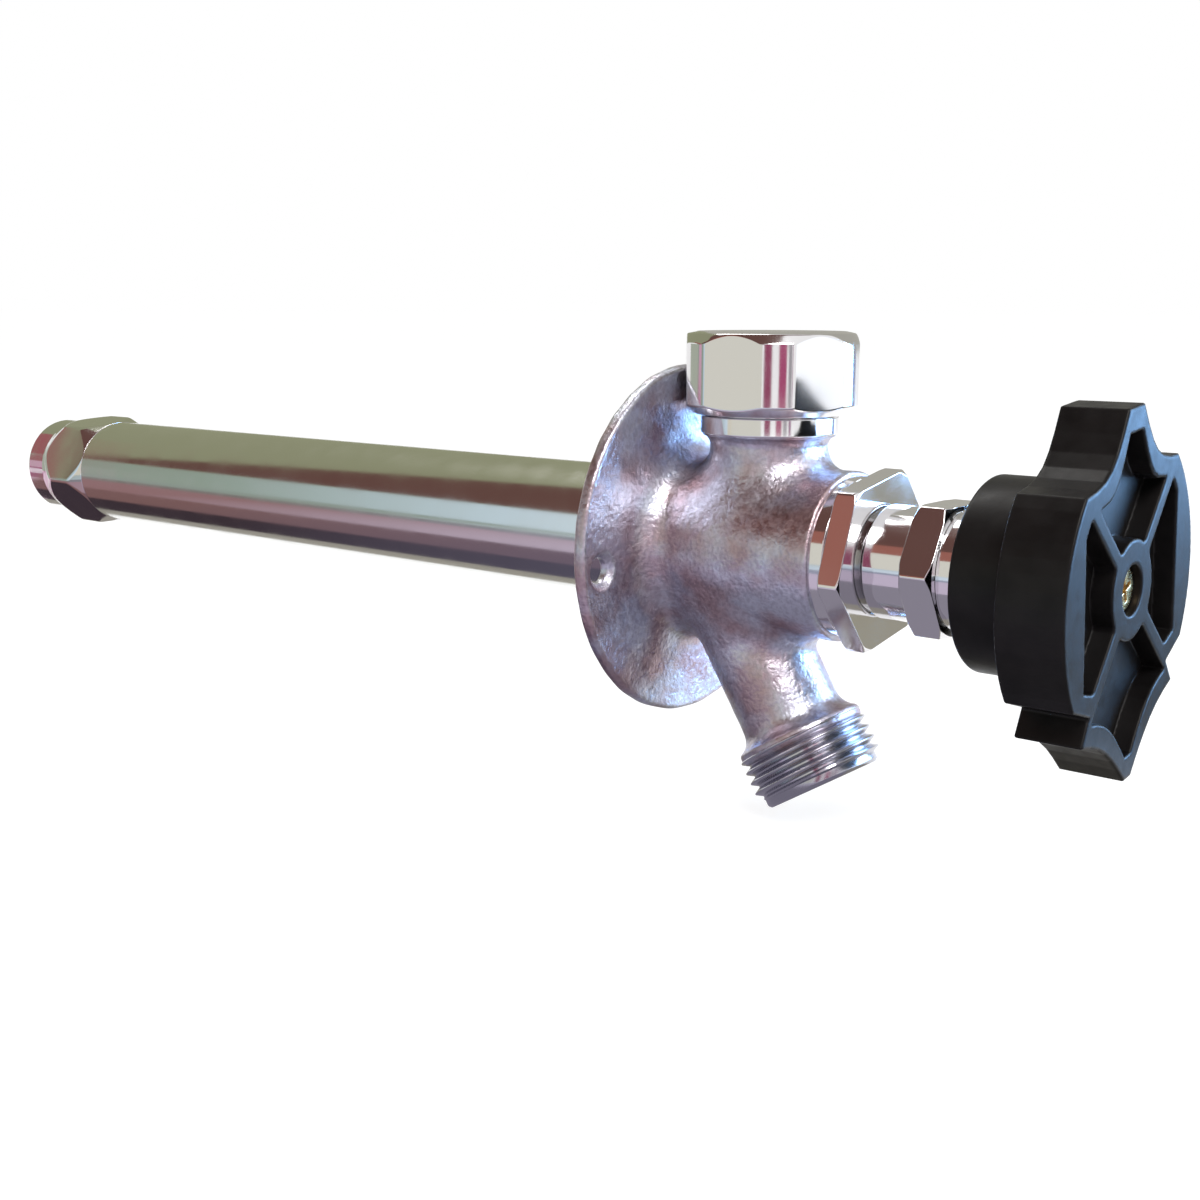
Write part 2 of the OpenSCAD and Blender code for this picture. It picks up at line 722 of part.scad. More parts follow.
module vacuum_breaker_cap() {
    bore_top = stub_top_z + cap_gasket_t - cap_foot_z;
    vent_r = tower_stub_r - cap_gasket_lap;
    foot_chamfer_h = 0.7 * cap_foot_chamfer;
    shoulder_drop = 0.4;
    shoulder_w = 1.2;
    top_face_setback = 3;
    color([0.74, 0.74, 0.78]) on_tower(cap_foot_z) difference() {
        intersection() {
            rotate_extrude() polygon([
                [0, 0],
                [cap_r - cap_foot_chamfer, 0],
                [cap_r, foot_chamfer_h],
                [cap_r, cap_h - cap_top_chamfer],
                [cap_r - shoulder_w, cap_h - shoulder_drop],
                [cap_r - top_face_setback, cap_h],
                [0, cap_h]
            ]);
            rotate([0, 0, cap_turn]) cylinder(r = cap_af / sqrt(3), h = cap_h, $fn = 6);
        }
        translate([0, 0, -cut]) cylinder(r = tower_stub_r + fixed_gap, h = bore_top + cut);
        cylinder(r = vent_r, h = cap_h - cap_wall);
    }
}

module cap_gasket() {
    color([0.08, 0.08, 0.08]) on_tower(stub_top_z) difference() {
        cylinder(r = tower_stub_r - contact_gap, h = cap_gasket_t);
        translate([0, 0, -cut]) cylinder(r = breaker_seat_r + contact_gap, h = cap_gasket_t + 2 * cut);
    }
}

// Threaded ring with a three armed guide for the poppet pin
module breaker_seat() {
    bush_wall = 1.2;
    arm_w = 1.6;
    arm_t = breaker_seat_t / 2;
    color([0.78, 0.62, 0.32]) on_tower(breaker_seat_z) difference() {
        union() {
            difference() {
                cylinder(r = breaker_seat_r, h = breaker_seat_t);
                translate([0, 0, -cut]) cylinder(r = air_way_r, h = breaker_seat_t + 2 * cut);
            }
            translate([0, 0, breaker_seat_t - arm_t]) {
                cylinder(r = poppet_pin_r + run_gap + bush_wall, h = arm_t);
                for (turn = [0:120:240]) rotate([0, 0, turn])
                    translate([0, -arm_w / 2, 0]) cube([air_way_r + 1, arm_w, arm_t]);
            }
        }
        translate([0, 0, -cut]) cylinder(r = poppet_pin_r + run_gap, h = breaker_seat_t + 2 * cut);
    }
}

module breaker_poppet() {
    color([0.85, 0.85, 0.80]) on_tower(float_floor_z + contact_gap) {
        cylinder(r = poppet_r, h = poppet_t);
        cylinder(r = poppet_pin_r, h = poppet_t + poppet_pin_len);
    }
}

module poppet_seal() {
    seal_setback = 0.4;
    color([0.08, 0.08, 0.08]) on_tower(float_floor_z + contact_gap + poppet_t) difference() {
        cylinder(r = poppet_r - seal_setback, h = poppet_seal_t);
        translate([0, 0, -cut]) cylinder(r = poppet_pin_r + fixed_gap, h = poppet_seal_t + 2 * cut);
    }
}

relief_bore_r = relief_ball_r + loose_gap;
relief_ball_z = relief_seat_z - sqrt(pow(relief_ball_r, 2) - pow(relief_hole_r, 2)) - contact_gap;
spring_room = 1.2;
spring_side_gap = 0.25;
plug_top_z =
    relief_ball_z - relief_ball_r - relief_travel - relief_turns * 2 * relief_wire_r - spring_room;
plug_foot_z = -plunger_flats / 2 + plug_setback;
spring_mid_r = relief_bore_r - relief_wire_r - spring_side_gap;
spring_reach_r = relief_ball_r + relief_wire_r + contact_gap;
spring_top_z = relief_ball_z - sqrt(pow(spring_reach_r, 2) - pow(spring_mid_r, 2)) + relief_wire_r;
spring_height = spring_top_z - plug_top_z;

// Pocket for the seat washer in the back end of the plunger
washer_pocket = seat_washer_t - washer_proud;

module plunger() {
    relief_web = 1;
    block_w = 2 * (button_r + loose_gap);
    color([0.80, 0.66, 0.40]) difference() {
        union() {
            intersection() {
                union() {
                    bar(plunger_back, plunger_shoulder, plunger_r);
                    forward(plunger_shoulder)
                        cylinder(r1 = plunger_r, r2 = plunger_block_r, h = plunger_cone_len);
                }
                forward(plunger_back) rotate([0, 0, 22.5])
                    cylinder(r = plunger_flats / 2 / cos(22.5), h = reach, $fn = 8);
            }
            bar(plunger_neck - cut, plunger_front, plunger_block_r);
        }
        bar(plunger_back - cut, plunger_back + washer_pocket, seat_washer_r + contact_gap);
        bar(plunger_back, relief_station, washer_screw_r + fixed_gap);
        translate([0, -relief_station, -plunger_r]) cylinder(r = relief_bore_r, h = relief_seat_z + plunger_r);
        translate([0, -relief_station, 0]) cylinder(r = relief_hole_r, h = plunger_r);
        translate([0, -relief_station, relief_seat_z + relief_web])
            cylinder(r = relief_recess_r, h = plunger_r);
        forward(button_back - contact_gap) translate([-block_w / 2, -button_r - loose_gap, 0])
            cube([block_w, 4 * button_r, slot_front - button_back + contact_gap]);
        forward(slot_front - cut) translate([-button_neck_r - loose_gap, -button_neck_r - loose_gap, 0])
            cube([2 * (button_neck_r + loose_gap), 4 * button_r, plunger_block_len]);
    }
}

module seat_washer() {
    color([0.12, 0.12, 0.12]) difference() {
        bar(washer_back, washer_back + seat_washer_t, seat_washer_r);
        bar(washer_back - cut, washer_back + seat_washer_t + cut, washer_screw_r + fixed_gap);
    }
}

// A hollow screw that holds the washer and leads from the supply to the relief ball
module washer_screw() {
    head_r = 4.6;
    head_h = 2.4;
    tip_setback = 0.4;
    color([0.78, 0.62, 0.32]) difference() {
        union() {
            forward(washer_back - head_h) cylinder(r = head_r, h = head_h, $fn = 6);
            bar(washer_back - cut, relief_station - relief_bore_r - tip_setback, washer_screw_r);
        }
        bar(washer_back - head_h - cut, relief_station, washer_screw_r / 2);
    }
}

module relief_plug() {
    color([0.78, 0.62, 0.32]) translate([0, -relief_station, plug_foot_z])
        cylinder(r = relief_bore_r - fixed_gap, h = plug_top_z - plug_foot_z);
}

// The relief spring is one wire: rings of points along a helix that lies flat at both ends
spring_rings = 12;
spring_sides = 6;
spring_steps = relief_turns * spring_rings;
function spring_z(i) =
    relief_wire_r + contact_gap
    + (spring_height - 2 * relief_wire_r - 2 * contact_gap) * i / spring_steps;
function spring_ring(i) = [
    for (j = [0:spring_sides - 1])
        let (
            a = 360 * i / spring_rings,
            b = 360 * j / spring_sides,
            r = spring_mid_r + relief_wire_r * cos(b)
        )
        [r * cos(a), r * sin(a), spring_z(i) + relief_wire_r * sin(b)]
];
spring_points = [for (i = [0:spring_steps]) each spring_ring(i)];
spring_faces = concat(
    [[for (j = [0:spring_sides - 1]) j]],
    [[for (j = [spring_sides - 1:-1:0]) spring_steps * spring_sides + j]],
    [
        for (i = [0:spring_steps - 1])
            for (j = [0:spring_sides - 1])
                let (k = (j + 1) % spring_sides)
                each [
                    [i * spring_sides + j, (i + 1) * spring_sides + j, (i + 1) * spring_sides + k],
                    [i * spring_sides + j, (i + 1) * spring_sides + k, i * spring_sides + k]
                ]
    ]
);

module relief_spring() {
    color([0.75, 0.75, 0.78]) translate([0, -relief_station, plug_top_z])
        polyhedron(points = spring_points, faces = spring_faces);
}

module relief_ball() {
    color([0.55, 0.52, 0.45]) translate([0, -relief_station, relief_ball_z]) sphere(r = relief_ball_r);
}

valve_body();
barrel_tube();
inlet_fitting();
bonnet();
bonnet_o_ring();
packing_nut();
packing_ring();
packing_washer();
operating_rod();
stem_screw();
stem_pin();
rod_guide();
handle();
handle_screw();
vacuum_breaker_cap();
cap_gasket();
breaker_seat();
breaker_poppet();
poppet_seal();
plunger();
seat_washer();
washer_screw();
relief_plug();
relief_spring();
relief_ball();
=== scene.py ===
import math

import bpy
import bmesh
import numpy as np
import openvdb
from mathutils import Matrix, Vector


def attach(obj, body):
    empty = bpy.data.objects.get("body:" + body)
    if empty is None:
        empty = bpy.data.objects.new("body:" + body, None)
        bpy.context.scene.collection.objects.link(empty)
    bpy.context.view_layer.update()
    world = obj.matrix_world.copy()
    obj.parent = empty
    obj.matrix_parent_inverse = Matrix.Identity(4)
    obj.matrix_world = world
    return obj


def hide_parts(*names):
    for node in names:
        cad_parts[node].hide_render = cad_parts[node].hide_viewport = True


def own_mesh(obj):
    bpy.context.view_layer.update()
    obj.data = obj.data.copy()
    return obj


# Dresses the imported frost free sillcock: cast body, chromed tube and nuts, lobed black handle.
# Shapes are worked out in millimetres in the row's frame and turned into metres at the end.
# A station is a distance in front of the wall plane, so it is minus y.

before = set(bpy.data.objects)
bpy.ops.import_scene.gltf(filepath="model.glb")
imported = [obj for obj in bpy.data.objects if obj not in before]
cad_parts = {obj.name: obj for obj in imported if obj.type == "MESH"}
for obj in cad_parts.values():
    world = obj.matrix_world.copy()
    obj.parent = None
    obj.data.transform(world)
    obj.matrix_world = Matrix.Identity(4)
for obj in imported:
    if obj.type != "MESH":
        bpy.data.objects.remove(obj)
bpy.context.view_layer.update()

MM = 0.001

# Sizes that the frame's solids have, in millimetres
TUBE_R = 14.29
TUBE_BORE_R = 13.04
TUBE_BACK = -206.0
TUBE_FRONT = 5.5
INLET_END = -236.0
SPIGOT_R = 13.7
SPIGOT_END = -227.0
COLLAR_BACK = -219.5
COLLAR_FRONT = -211.0
COLLAR_FLATS = 28.7
COLLAR_TURN = 8.0
SLEEVE_R = 13.0
SLEEVE_END = -192.0
SEAT_FACE = -198.0
CUP_R = 11.18
CUP_END = -217.0
SEAT_BORE_R = 6.5
FLANGE_R = 36.4
FLANGE_T = 2.8
SCREW_HOLE_R = 2.6
SCREW_HOLE_PLACE = 30.7
SCREW_HOLE_TURN = math.radians(5.8)
COUNTERSINK_R = 3.8
BARREL_R = 16.8
CHAMBER_R = 12.2
FRONT_BORE_R = 11.44
TOWER_NECK_R = 11.8
TOWER_COLLAR_R = 13.3
SPOUT_R = 10.4
SPOUT_SHOULDER_R = 12.9
CHAMBER_END = 29.0
RING_START = 40.0
BODY_FRONT = 43.4
SPOUT_STATION = 6.5
SPOUT_TILT = math.radians(32)
SPOUT_BORE_R = 6.9
THREAD_START = 45.0
THREAD_R = 13.49
THREAD_ROOT_R = 12.1
THREAD_PITCH = 2.209
THREAD_CRESTS = 4
SPOUT_MOUTH = 55.736
TOWER_STATION = 20.9
TOWER_RING_Z = 23.2
STUB_TOP_Z = 35.0
STUB_R = 12.6
CAP_FOOT_Z = 27.1
CAP_H = 16.2
BONNET_FRONT = 48.2
GLAND_END = 57.7
NUT_BACK = 49.0
NUT_HEX_BACK = 57.8
NUT_HEX_END = 64.4
NUT_FRONT = 67.6
HUB_START = 70.2
HUB_R = 18.3
HANDLE_TURN = math.radians(6)
GRIP_BACK = 84.0
GRIP_FRONT = 96.2
POCKET_DEPTH = 4.0

FRONT_AXIS = np.array([0.0, -1.0, 0.0])
UP_AXIS = np.array([0.0, 0.0, 1.0])
SPOUT_AXIS = np.array([0.0, -math.sin(SPOUT_TILT), -math.cos(SPOUT_TILT)])
SPOUT_ORIGIN = np.array([0.0, -SPOUT_STATION, 0.0])
TOWER_ORIGIN = np.array([0.0, -TOWER_STATION, 0.0])
CENTRE = np.zeros(3)


# Node helpers

def new_material(name):
    material = bpy.data.materials.new(name)
    material.use_nodes = True
    return material


def set_inputs(made, values):
    for key, value in values.items():
        made.inputs[key].default_value = value


def noise(tree, size_mm, detail=2.0, rough=0.5):
    """A noise texture whose features are about size_mm across, in object space."""
    place = tree.nodes.new("ShaderNodeTexCoord")
    texture = tree.nodes.new("ShaderNodeTexNoise")
    set_inputs(texture, {"Scale": 1.0 / (size_mm * MM), "Detail": detail, "Roughness": rough})
    tree.links.new(place.outputs["Object"], texture.inputs["Vector"])
    return texture.outputs["Fac"]


def ramp(tree, source, low, high, low_at=0.35, high_at=0.65):
    """Colours from low to high along a noise value."""
    made = tree.nodes.new("ShaderNodeValToRGB")
    made.color_ramp.elements[0].position = low_at
    made.color_ramp.elements[0].color = (*low, 1.0)
    made.color_ramp.elements[1].position = high_at
    made.color_ramp.elements[1].color = (*high, 1.0)
    tree.links.new(source, made.inputs["Fac"])
    return made.outputs["Color"]


def span(tree, source, low, high, low_at=0.3, high_at=0.7):
    """Maps a noise value to a number between low and high."""
    made = tree.nodes.new("ShaderNodeMapRange")
    set_inputs(made, {"From Min": low_at, "From Max": high_at, "To Min": low, "To Max": high})
    tree.links.new(source, made.inputs["Value"])
    return made.outputs["Result"]


def bump(tree, height, depth_mm, strength=1.0, below=None):
    made = tree.nodes.new("ShaderNodeBump")
    set_inputs(made, {"Distance": depth_mm * MM, "Strength": strength})
    tree.links.new(height, made.inputs["Height"])
    if below is not None:
        tree.links.new(below, made.inputs["Normal"])
    return made.outputs["Normal"]


# Materials

def chrome(name, color, dull, wave_mm=0.004):
    """Polished chrome with faint waves and a little unevenness in its shine."""
    material = new_material(name)
    tree = material.node_tree
    shader = tree.nodes["Principled BSDF"]
    set_inputs(shader, {"Base Color": (*color, 1.0), "Metallic": 1.0})
    tree.links.new(span(tree, noise(tree, 9.0), dull * 0.75, dull * 1.3), shader.inputs["Roughness"])
    tree.links.new(bump(tree, noise(tree, 5.0, 1.0), wave_mm), shader.inputs["Normal"])
    return material


def cast_chrome(name):
    """Chrome over a rough casting: fine grain, dimples and slow patches.

    The brownish and bluish patches stand for the room that the photo's casting mirrors. They are
    in its own colour, so they stay under other light."""
    material = new_material(name)
    tree = material.node_tree
    shader = tree.nodes["Principled BSDF"]
    set_inputs(shader, {"Metallic": 1.0})
    patches = ramp(tree, noise(tree, 11.0, 3.0), (0.46, 0.35, 0.37), (0.62, 0.65, 0.74), 0.38, 0.60)
    # Darker where the 0.8 mm grain noise is low and lighter where it is high, nearly in step with the
    # grain bump.
    fine_grain_tone = ramp(tree, noise(tree, 0.8, 2.0), (0.87, 0.86, 0.87), (1.06, 1.06, 1.06), 0.36, 0.60)
    tone = tree.nodes.new("ShaderNodeVectorMath")
    tone.operation = "MULTIPLY"
    tree.links.new(patches, tone.inputs[0])
    tree.links.new(fine_grain_tone, tone.inputs[1])
    tree.links.new(tone.outputs[0], shader.inputs["Base Color"])
    tree.links.new(span(tree, noise(tree, 1.6, 3.0), 0.30, 0.46), shader.inputs["Roughness"])
    coarse = bump(tree, noise(tree, 2.0, 1.0), 0.15, 0.8)
    grain = bump(tree, noise(tree, 0.8, 2.0, 0.45), 0.13, 1.0, coarse)
    tree.links.new(grain, shader.inputs["Normal"])
    return material


def brass(name):
    material = new_material(name)
    tree = material.node_tree
    shader = tree.nodes["Principled BSDF"]
    set_inputs(shader, {"Metallic": 1.0})
    tone = ramp(tree, noise(tree, 6.0, 3.0), (0.62, 0.44, 0.20), (0.84, 0.66, 0.36))
    tree.links.new(tone, shader.inputs["Base Color"])
    tree.links.new(span(tree, noise(tree, 2.0, 2.0), 0.18, 0.34), shader.inputs["Roughness"])
    tree.links.new(bump(tree, noise(tree, 0.6, 2.0), 0.01), shader.inputs["Normal"])
    return material


def plastic(name, color, other, dull_low, dull_high, grain_mm, depth_mm, shine=0.5):
    """Moulded plastic or rubber with a fine grain and slightly uneven tone."""
    material = new_material(name)
    tree = material.node_tree
    shader = tree.nodes["Principled BSDF"]
    set_inputs(shader, {"Specular IOR Level": shine})
    tree.links.new(ramp(tree, noise(tree, 7.0, 3.0), color, other), shader.inputs["Base Color"])
    tree.links.new(span(tree, noise(tree, 3.0, 2.0), dull_low, dull_high), shader.inputs["Roughness"])
    tree.links.new(bump(tree, noise(tree, grain_mm, 2.0), depth_mm), shader.inputs["Normal"])
    return material


CAST = cast_chrome("cast_chrome")
CHROME = chrome("bright_chrome", (0.80, 0.79, 0.80), 0.10)
TUBE_CHROME = chrome("tube_chrome", (0.80, 0.80, 0.78), 0.14, 0.003)
# Painted shade: the hose thread's chrome is darker and a little bluer than the other chrome of the
# same casting.
THREAD_CHROME_PAINTED_SHADE = chrome("thread_chrome_painted_shade", (0.50, 0.50, 0.55), 0.20)
BRASS = brass("brass")
BLACK = plastic(
    "black_plastic", (0.004, 0.0035, 0.0035), (0.007, 0.006, 0.006), 0.34, 0.44, 0.5, 0.012, 0.17
)
PALE = plastic("pale_plastic", (0.74, 0.73, 0.68), (0.82, 0.81, 0.76), 0.4, 0.5, 0.6, 0.01)
RUBBER = plastic("rubber", (0.020, 0.020, 0.020), (0.032, 0.032, 0.031), 0.6, 0.75, 0.4, 0.01)
PACKING = plastic("packing", (0.07, 0.07, 0.075), (0.11, 0.11, 0.115), 0.5, 0.7, 0.5, 0.03)
STEEL = chrome("steel", (0.58, 0.57, 0.55), 0.22)

NODE_MATERIALS = {
    "bonnet_o_ring": RUBBER, "packing_ring": PACKING, "packing_washer": BRASS,
    "operating_rod": BRASS, "stem_screw": BRASS, "stem_pin": STEEL, "rod_guide": PALE,
    "cap_gasket": RUBBER, "breaker_seat": BRASS, "breaker_poppet": PALE, "poppet_seal": RUBBER,
    "plunger": BRASS, "seat_washer": RUBBER, "washer_screw": BRASS, "relief_plug": BRASS,
    "relief_spring": STEEL, "relief_ball": STEEL,
}
for name, material in NODE_MATERIALS.items():
    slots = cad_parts[name].material_slots
    for index in range(len(slots)):
        slots[index].material = material


# Mesh helpers

def add_piece(name, points, faces, material, body, replaced=(), weld=False, flat_angle=None):
    """A mesh object from points in millimetres, smooth shaded and riding on a body."""
    mesh = bpy.data.meshes.new(name)
    mesh.from_pydata((np.asarray(points) * MM).tolist(), [], [list(map(int, f)) for f in faces])
    if weld:
        work = bmesh.new()
        work.from_mesh(mesh)
        bmesh.ops.remove_doubles(work, verts=work.verts, dist=0.002 * MM)
        bmesh.ops.dissolve_degenerate(work, edges=work.edges, dist=0.002 * MM)
        bmesh.ops.recalc_face_normals(work, faces=work.faces)
        work.to_mesh(mesh)
        work.free()
    mesh.validate()
    mesh.shade_smooth()
    if flat_angle is not None:
        mesh.set_sharp_from_angle(angle=math.radians(flat_angle))
    mesh.materials.append(material)
    piece = bpy.data.objects.new(name, mesh)
    bpy.context.scene.collection.objects.link(piece)
    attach(piece, body)
    if replaced:
        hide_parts(*replaced)
    return piece


def settle_normals(piece):
    """Weighs shading normals by face area, so flats stay flat beside small rounded edges."""
    modifier = piece.modifiers.new("flats", "WEIGHTED_NORMAL")
    modifier.keep_sharp = True
    modifier.weight = 80


def place(along, across, up, origin, axis):
    """Points given along an axis, and across and up from it, in the row's frame."""
    side = np.array([1.0, 0.0, 0.0])
    lift = np.cross(axis, side)
    return (
        origin
        + along[..., None] * axis
        + across[..., None] * side
        + up[..., None] * lift
    )


def soften(corners, steps=3):
    """Rounds a closed or open section of (station, radius, rounding) corners."""
    count = len(corners)
    out = []
    for i, (s, r, soft) in enumerate(corners):
        here = np.array([s, r])
        if soft <= 0:
            out.append(here)
            continue
        back = np.array(corners[i - 1][:2]) - here
        ahead = np.array(corners[(i + 1) % count][:2]) - here
        back_len = np.linalg.norm(back)
        ahead_len = np.linalg.norm(ahead)
        reach = min(soft, 0.45 * back_len, 0.45 * ahead_len)
        a = here + back / back_len * reach
        b = here + ahead / ahead_len * reach
        for k in range(steps + 1):
            t = k / steps
            out.append((1 - t) ** 2 * a + 2 * t * (1 - t) * here + t ** 2 * b)
    return np.array(out)


def turned(name, section_at, angles, origin, axis, material, body, replaced=()):
    """Sweeps a section round an axis. The section may change with the angle, as on a hexagon.

    Where the section starts and ends on the axis, each end closes in one point."""
    rings = np.array([soften(section_at(a)) for a in angles])
    count, size = rings.shape[:2]
    a = np.asarray(angles)[:, None]
    s, r = rings[..., 0], rings[..., 1]
    points = place(s, r * np.cos(a), r * np.sin(a), origin, axis).reshape(-1, 3)
    poles = rings[0, 0, 1] == 0
    rows = size - 1 if poles else size
    i, j = np.meshgrid(np.arange(count), np.arange(rows), indexing="ij")
    i2, j2 = (i + 1) % count, (j + 1) % size
    faces = np.stack([i * size + j, i2 * size + j, i2 * size + j2, i * size + j2], -1).reshape(-1, 4)
    piece = add_piece(name, points, faces, material, body, replaced, weld=True)
    settle_normals(piece)
    return piece


def round_angles(count=192):
    return np.linspace(0, 2 * math.pi, count, endpoint=False)


def hex_angles(turn, edge_half=3.0, edge_steps=6, flat_steps=16):
    """Angles round a hexagon, closer together near its six edges."""
    out = []
    for corner in range(6):
        start = turn + 60 * corner - edge_half
        out += list(start + 2 * edge_half * np.arange(edge_steps) / edge_steps)
        flat = 60 - 2 * edge_half
        out += list(start + 2 * edge_half + flat * np.arange(flat_steps) / flat_steps)
    return np.radians(out)


def hex_radius(angle, flats, turn, soft=0.5):
    """Distance from the axis to a hexagon's side, with rounded edges, at one angle."""
    off = (math.degrees(angle) - turn) % 60
    off = math.radians(min(off, 60 - off))
    half = flats / 2
    hub = (half - soft) / math.cos(math.pi / 6)
    tangent = math.pi / 6 - math.atan((half - soft) * math.tan(math.pi / 6) / half)
    if off < tangent:
        return hub * math.cos(off) + math.sqrt(soft ** 2 - (hub * math.sin(off)) ** 2)
    return half / math.cos(math.pi / 6 - off)


def hex_end(radius, face_r, least=0.12):
    """How far a 30 degree end chamfer runs down a hexagon at that radius, and its radius."""
    drop = max((radius - face_r) * math.tan(math.pi / 6), least)
    return drop, min(face_r, radius - least)


# Solid forms by distance fields

def smooth_join(a, b, size):
    """Union of two fields with a round fillet between them."""
    u = np.maximum(size - a, 0)
    v = np.maximum(size - b, 0)
    return np.maximum(size, np.minimum(a, b)) - np.sqrt(u * u + v * v)


def smooth_cut(a, b, size):
    """Field a less field b, with a rounded rim."""
    u = np.maximum(size + a, 0)
    v = np.maximum(size - b, 0)
    return np.minimum(-size, np.maximum(a, -b)) + np.sqrt(u * u + v * v)


def disc(radial, along, radius, start, end, soft=0.0):
    """A round bar with softened rims."""
    u = radial - radius + soft
    v = np.abs(along - (start + end) / 2) - (end - start) / 2 + soft
    outside = np.sqrt(np.maximum(u, 0) ** 2 + np.maximum(v, 0) ** 2)
    return np.minimum(np.maximum(u, v), 0) + outside - soft


def field_mesh(field, low, high, cell):
    """Points and faces of the surface where a field is zero, drawn onto the exact surface."""
    axes = [np.arange(lo - 2 * cell, hi + 2 * cell, cell) for lo, hi in zip(low, high)]
    values = np.empty([len(a) for a in axes], dtype=np.float32)
    grid_y, grid_z = np.meshgrid(axes[1], axes[2], indexing="ij")
    for i, x in enumerate(axes[0]):
        values[i] = field(np.full_like(grid_y, x), grid_y, grid_z)
    grid = openvdb.FloatGrid()
    grid.background = 5.0
    grid.copyFromArray(values)
    points, triangles, quads = grid.convertToPolygons(isovalue=0.0)
    points = np.asarray(points, dtype=float) * cell + np.array([a[0] for a in axes])
    h = 0.02
    for _ in range(3):
        x, y, z = points.T
        value = field(x, y, z)
        slope = np.stack([
            field(x + h, y, z) - field(x - h, y, z),
            field(x, y + h, z) - field(x, y - h, z),
            field(x, y, z + h) - field(x, y, z - h),
        ], -1) / (2 * h)
        steep = np.maximum((slope ** 2).sum(-1), 0.2)
        step = -(value / steep)[:, None] * slope
        length = np.linalg.norm(step, axis=-1, keepdims=True)
        points = points + step * np.minimum(1, 0.5 * cell / np.maximum(length, 1e-9))
    faces = [q[::-1] for q in np.asarray(quads)] + [t[::-1] for t in np.asarray(triangles)]
    return points, faces


# Cast body

def body_field(x, y, z):
    station = -y
    from_axis = np.hypot(x, z)
    flange = disc(from_axis, station, FLANGE_R, 0, FLANGE_T, 0.9)
    barrel = disc(from_axis, station, BARREL_R, 0.5, RING_START + 0.6, 0.8)
    shape = smooth_join(flange, barrel, 6.0)
    from_tower = np.hypot(x, station - TOWER_STATION)
    neck = disc(from_tower, z, TOWER_NECK_R, 5, 26)
    collar = disc(from_tower, z, TOWER_COLLAR_R, TOWER_RING_Z - 0.2, 26.2)
    tower = smooth_join(neck, collar, 2.2)
    shape = smooth_join(shape, tower, 4.5)
    below_y = y + SPOUT_STATION
    along = below_y * SPOUT_AXIS[1] + z * SPOUT_AXIS[2]
    across = below_y * SPOUT_AXIS[2] - z * SPOUT_AXIS[1]
    from_spout = np.hypot(x, across)
    pipe = disc(from_spout, along, SPOUT_R, 12, 45.5)
    shoulder = disc(from_spout, along, SPOUT_SHOULDER_R, 43.9, 45.6, 0.4)
    spout = smooth_join(pipe, shoulder, 4.0)
    shape = smooth_join(shape, spout, 6.0)
    ripple = (
        np.sin(0.71 * x + 0.33 * y + 1.0) * np.sin(0.62 * z - 0.41 * y)
        + np.sin(0.93 * y + 0.55 * z + 2.0) * np.sin(0.58 * x + 0.37 * z)
    )
    shape = shape + 0.05 * ripple
    shape = np.maximum(shape, -station)
    inside = disc(from_axis, station, TUBE_R + 0.04, -2, TUBE_FRONT)
    inside = np.minimum(inside, disc(from_axis, station, CHAMBER_R, -2, CHAMBER_END))
    inside = np.minimum(inside, disc(from_axis, station, FRONT_BORE_R, 20, 50))
    inside = np.minimum(inside, disc(from_tower, z, 6.5, 0, 22))
    inside = np.minimum(inside, disc(from_tower, z, 9.4, 20.5, 30))
    inside = np.minimum(inside, disc(from_spout, along, SPOUT_BORE_R, 0, 60))
    shape = np.maximum(shape, -inside)
    for side in (-1, 1):
        hole_x = side * SCREW_HOLE_PLACE * math.cos(SCREW_HOLE_TURN)
        hole_z = side * SCREW_HOLE_PLACE * math.sin(SCREW_HOLE_TURN)
        from_hole = np.hypot(x - hole_x, z - hole_z)
        wider = np.maximum(station - (FLANGE_T - 1.2), 0)
        sink = (from_hole - SCREW_HOLE_R - wider) * 0.75
        hole = np.minimum(from_hole - SCREW_HOLE_R, np.maximum(sink, from_hole - COUNTERSINK_R))
        shape = smooth_cut(shape, hole, 0.25)
    return shape


cell = 0.36
points, faces = field_mesh(body_field, (-36.5, -45.5, -47.0), (36.5, 0.0, 36.5), cell)
add_piece("body_casting", points, faces, CAST, "root", ["valve_body"])

# The machined ring at the front of the body
turned(
    "body_front_ring",
    lambda a: [
        (RING_START - 1, 12.0, 0), (RING_START - 1, 15.7, 0.1), (RING_START, 15.9, 0.1),
        (BODY_FRONT, 15.9, 0.35), (BODY_FRONT, 13.6, 0.1), (BODY_FRONT - 1.5, 13.5, 0),
        (BODY_FRONT - 1.5, 11.5, 0), (RING_START - 0.6, 11.5, 0)
    ],
    round_angles(), CENTRE, FRONT_AXIS, CHROME, "root"
)

# The machined ring and threaded stub on the tower
turned(
    "tower_ring",
    lambda a: [
        (TOWER_RING_Z, 9.6, 0), (TOWER_RING_Z, 13.75, 0.35), (26.8, 13.75, 0.35),
        (26.8, STUB_R, 0.1), (STUB_TOP_Z - 0.4, STUB_R, 0.1), (STUB_TOP_Z, STUB_R - 0.5, 0),
        (STUB_TOP_Z, 10.5, 0), (27.2, 10.5, 0), (27.0, 9.6, 0)
    ],
    round_angles(), TOWER_ORIGIN, UP_AXIS, CHROME, "root"
)


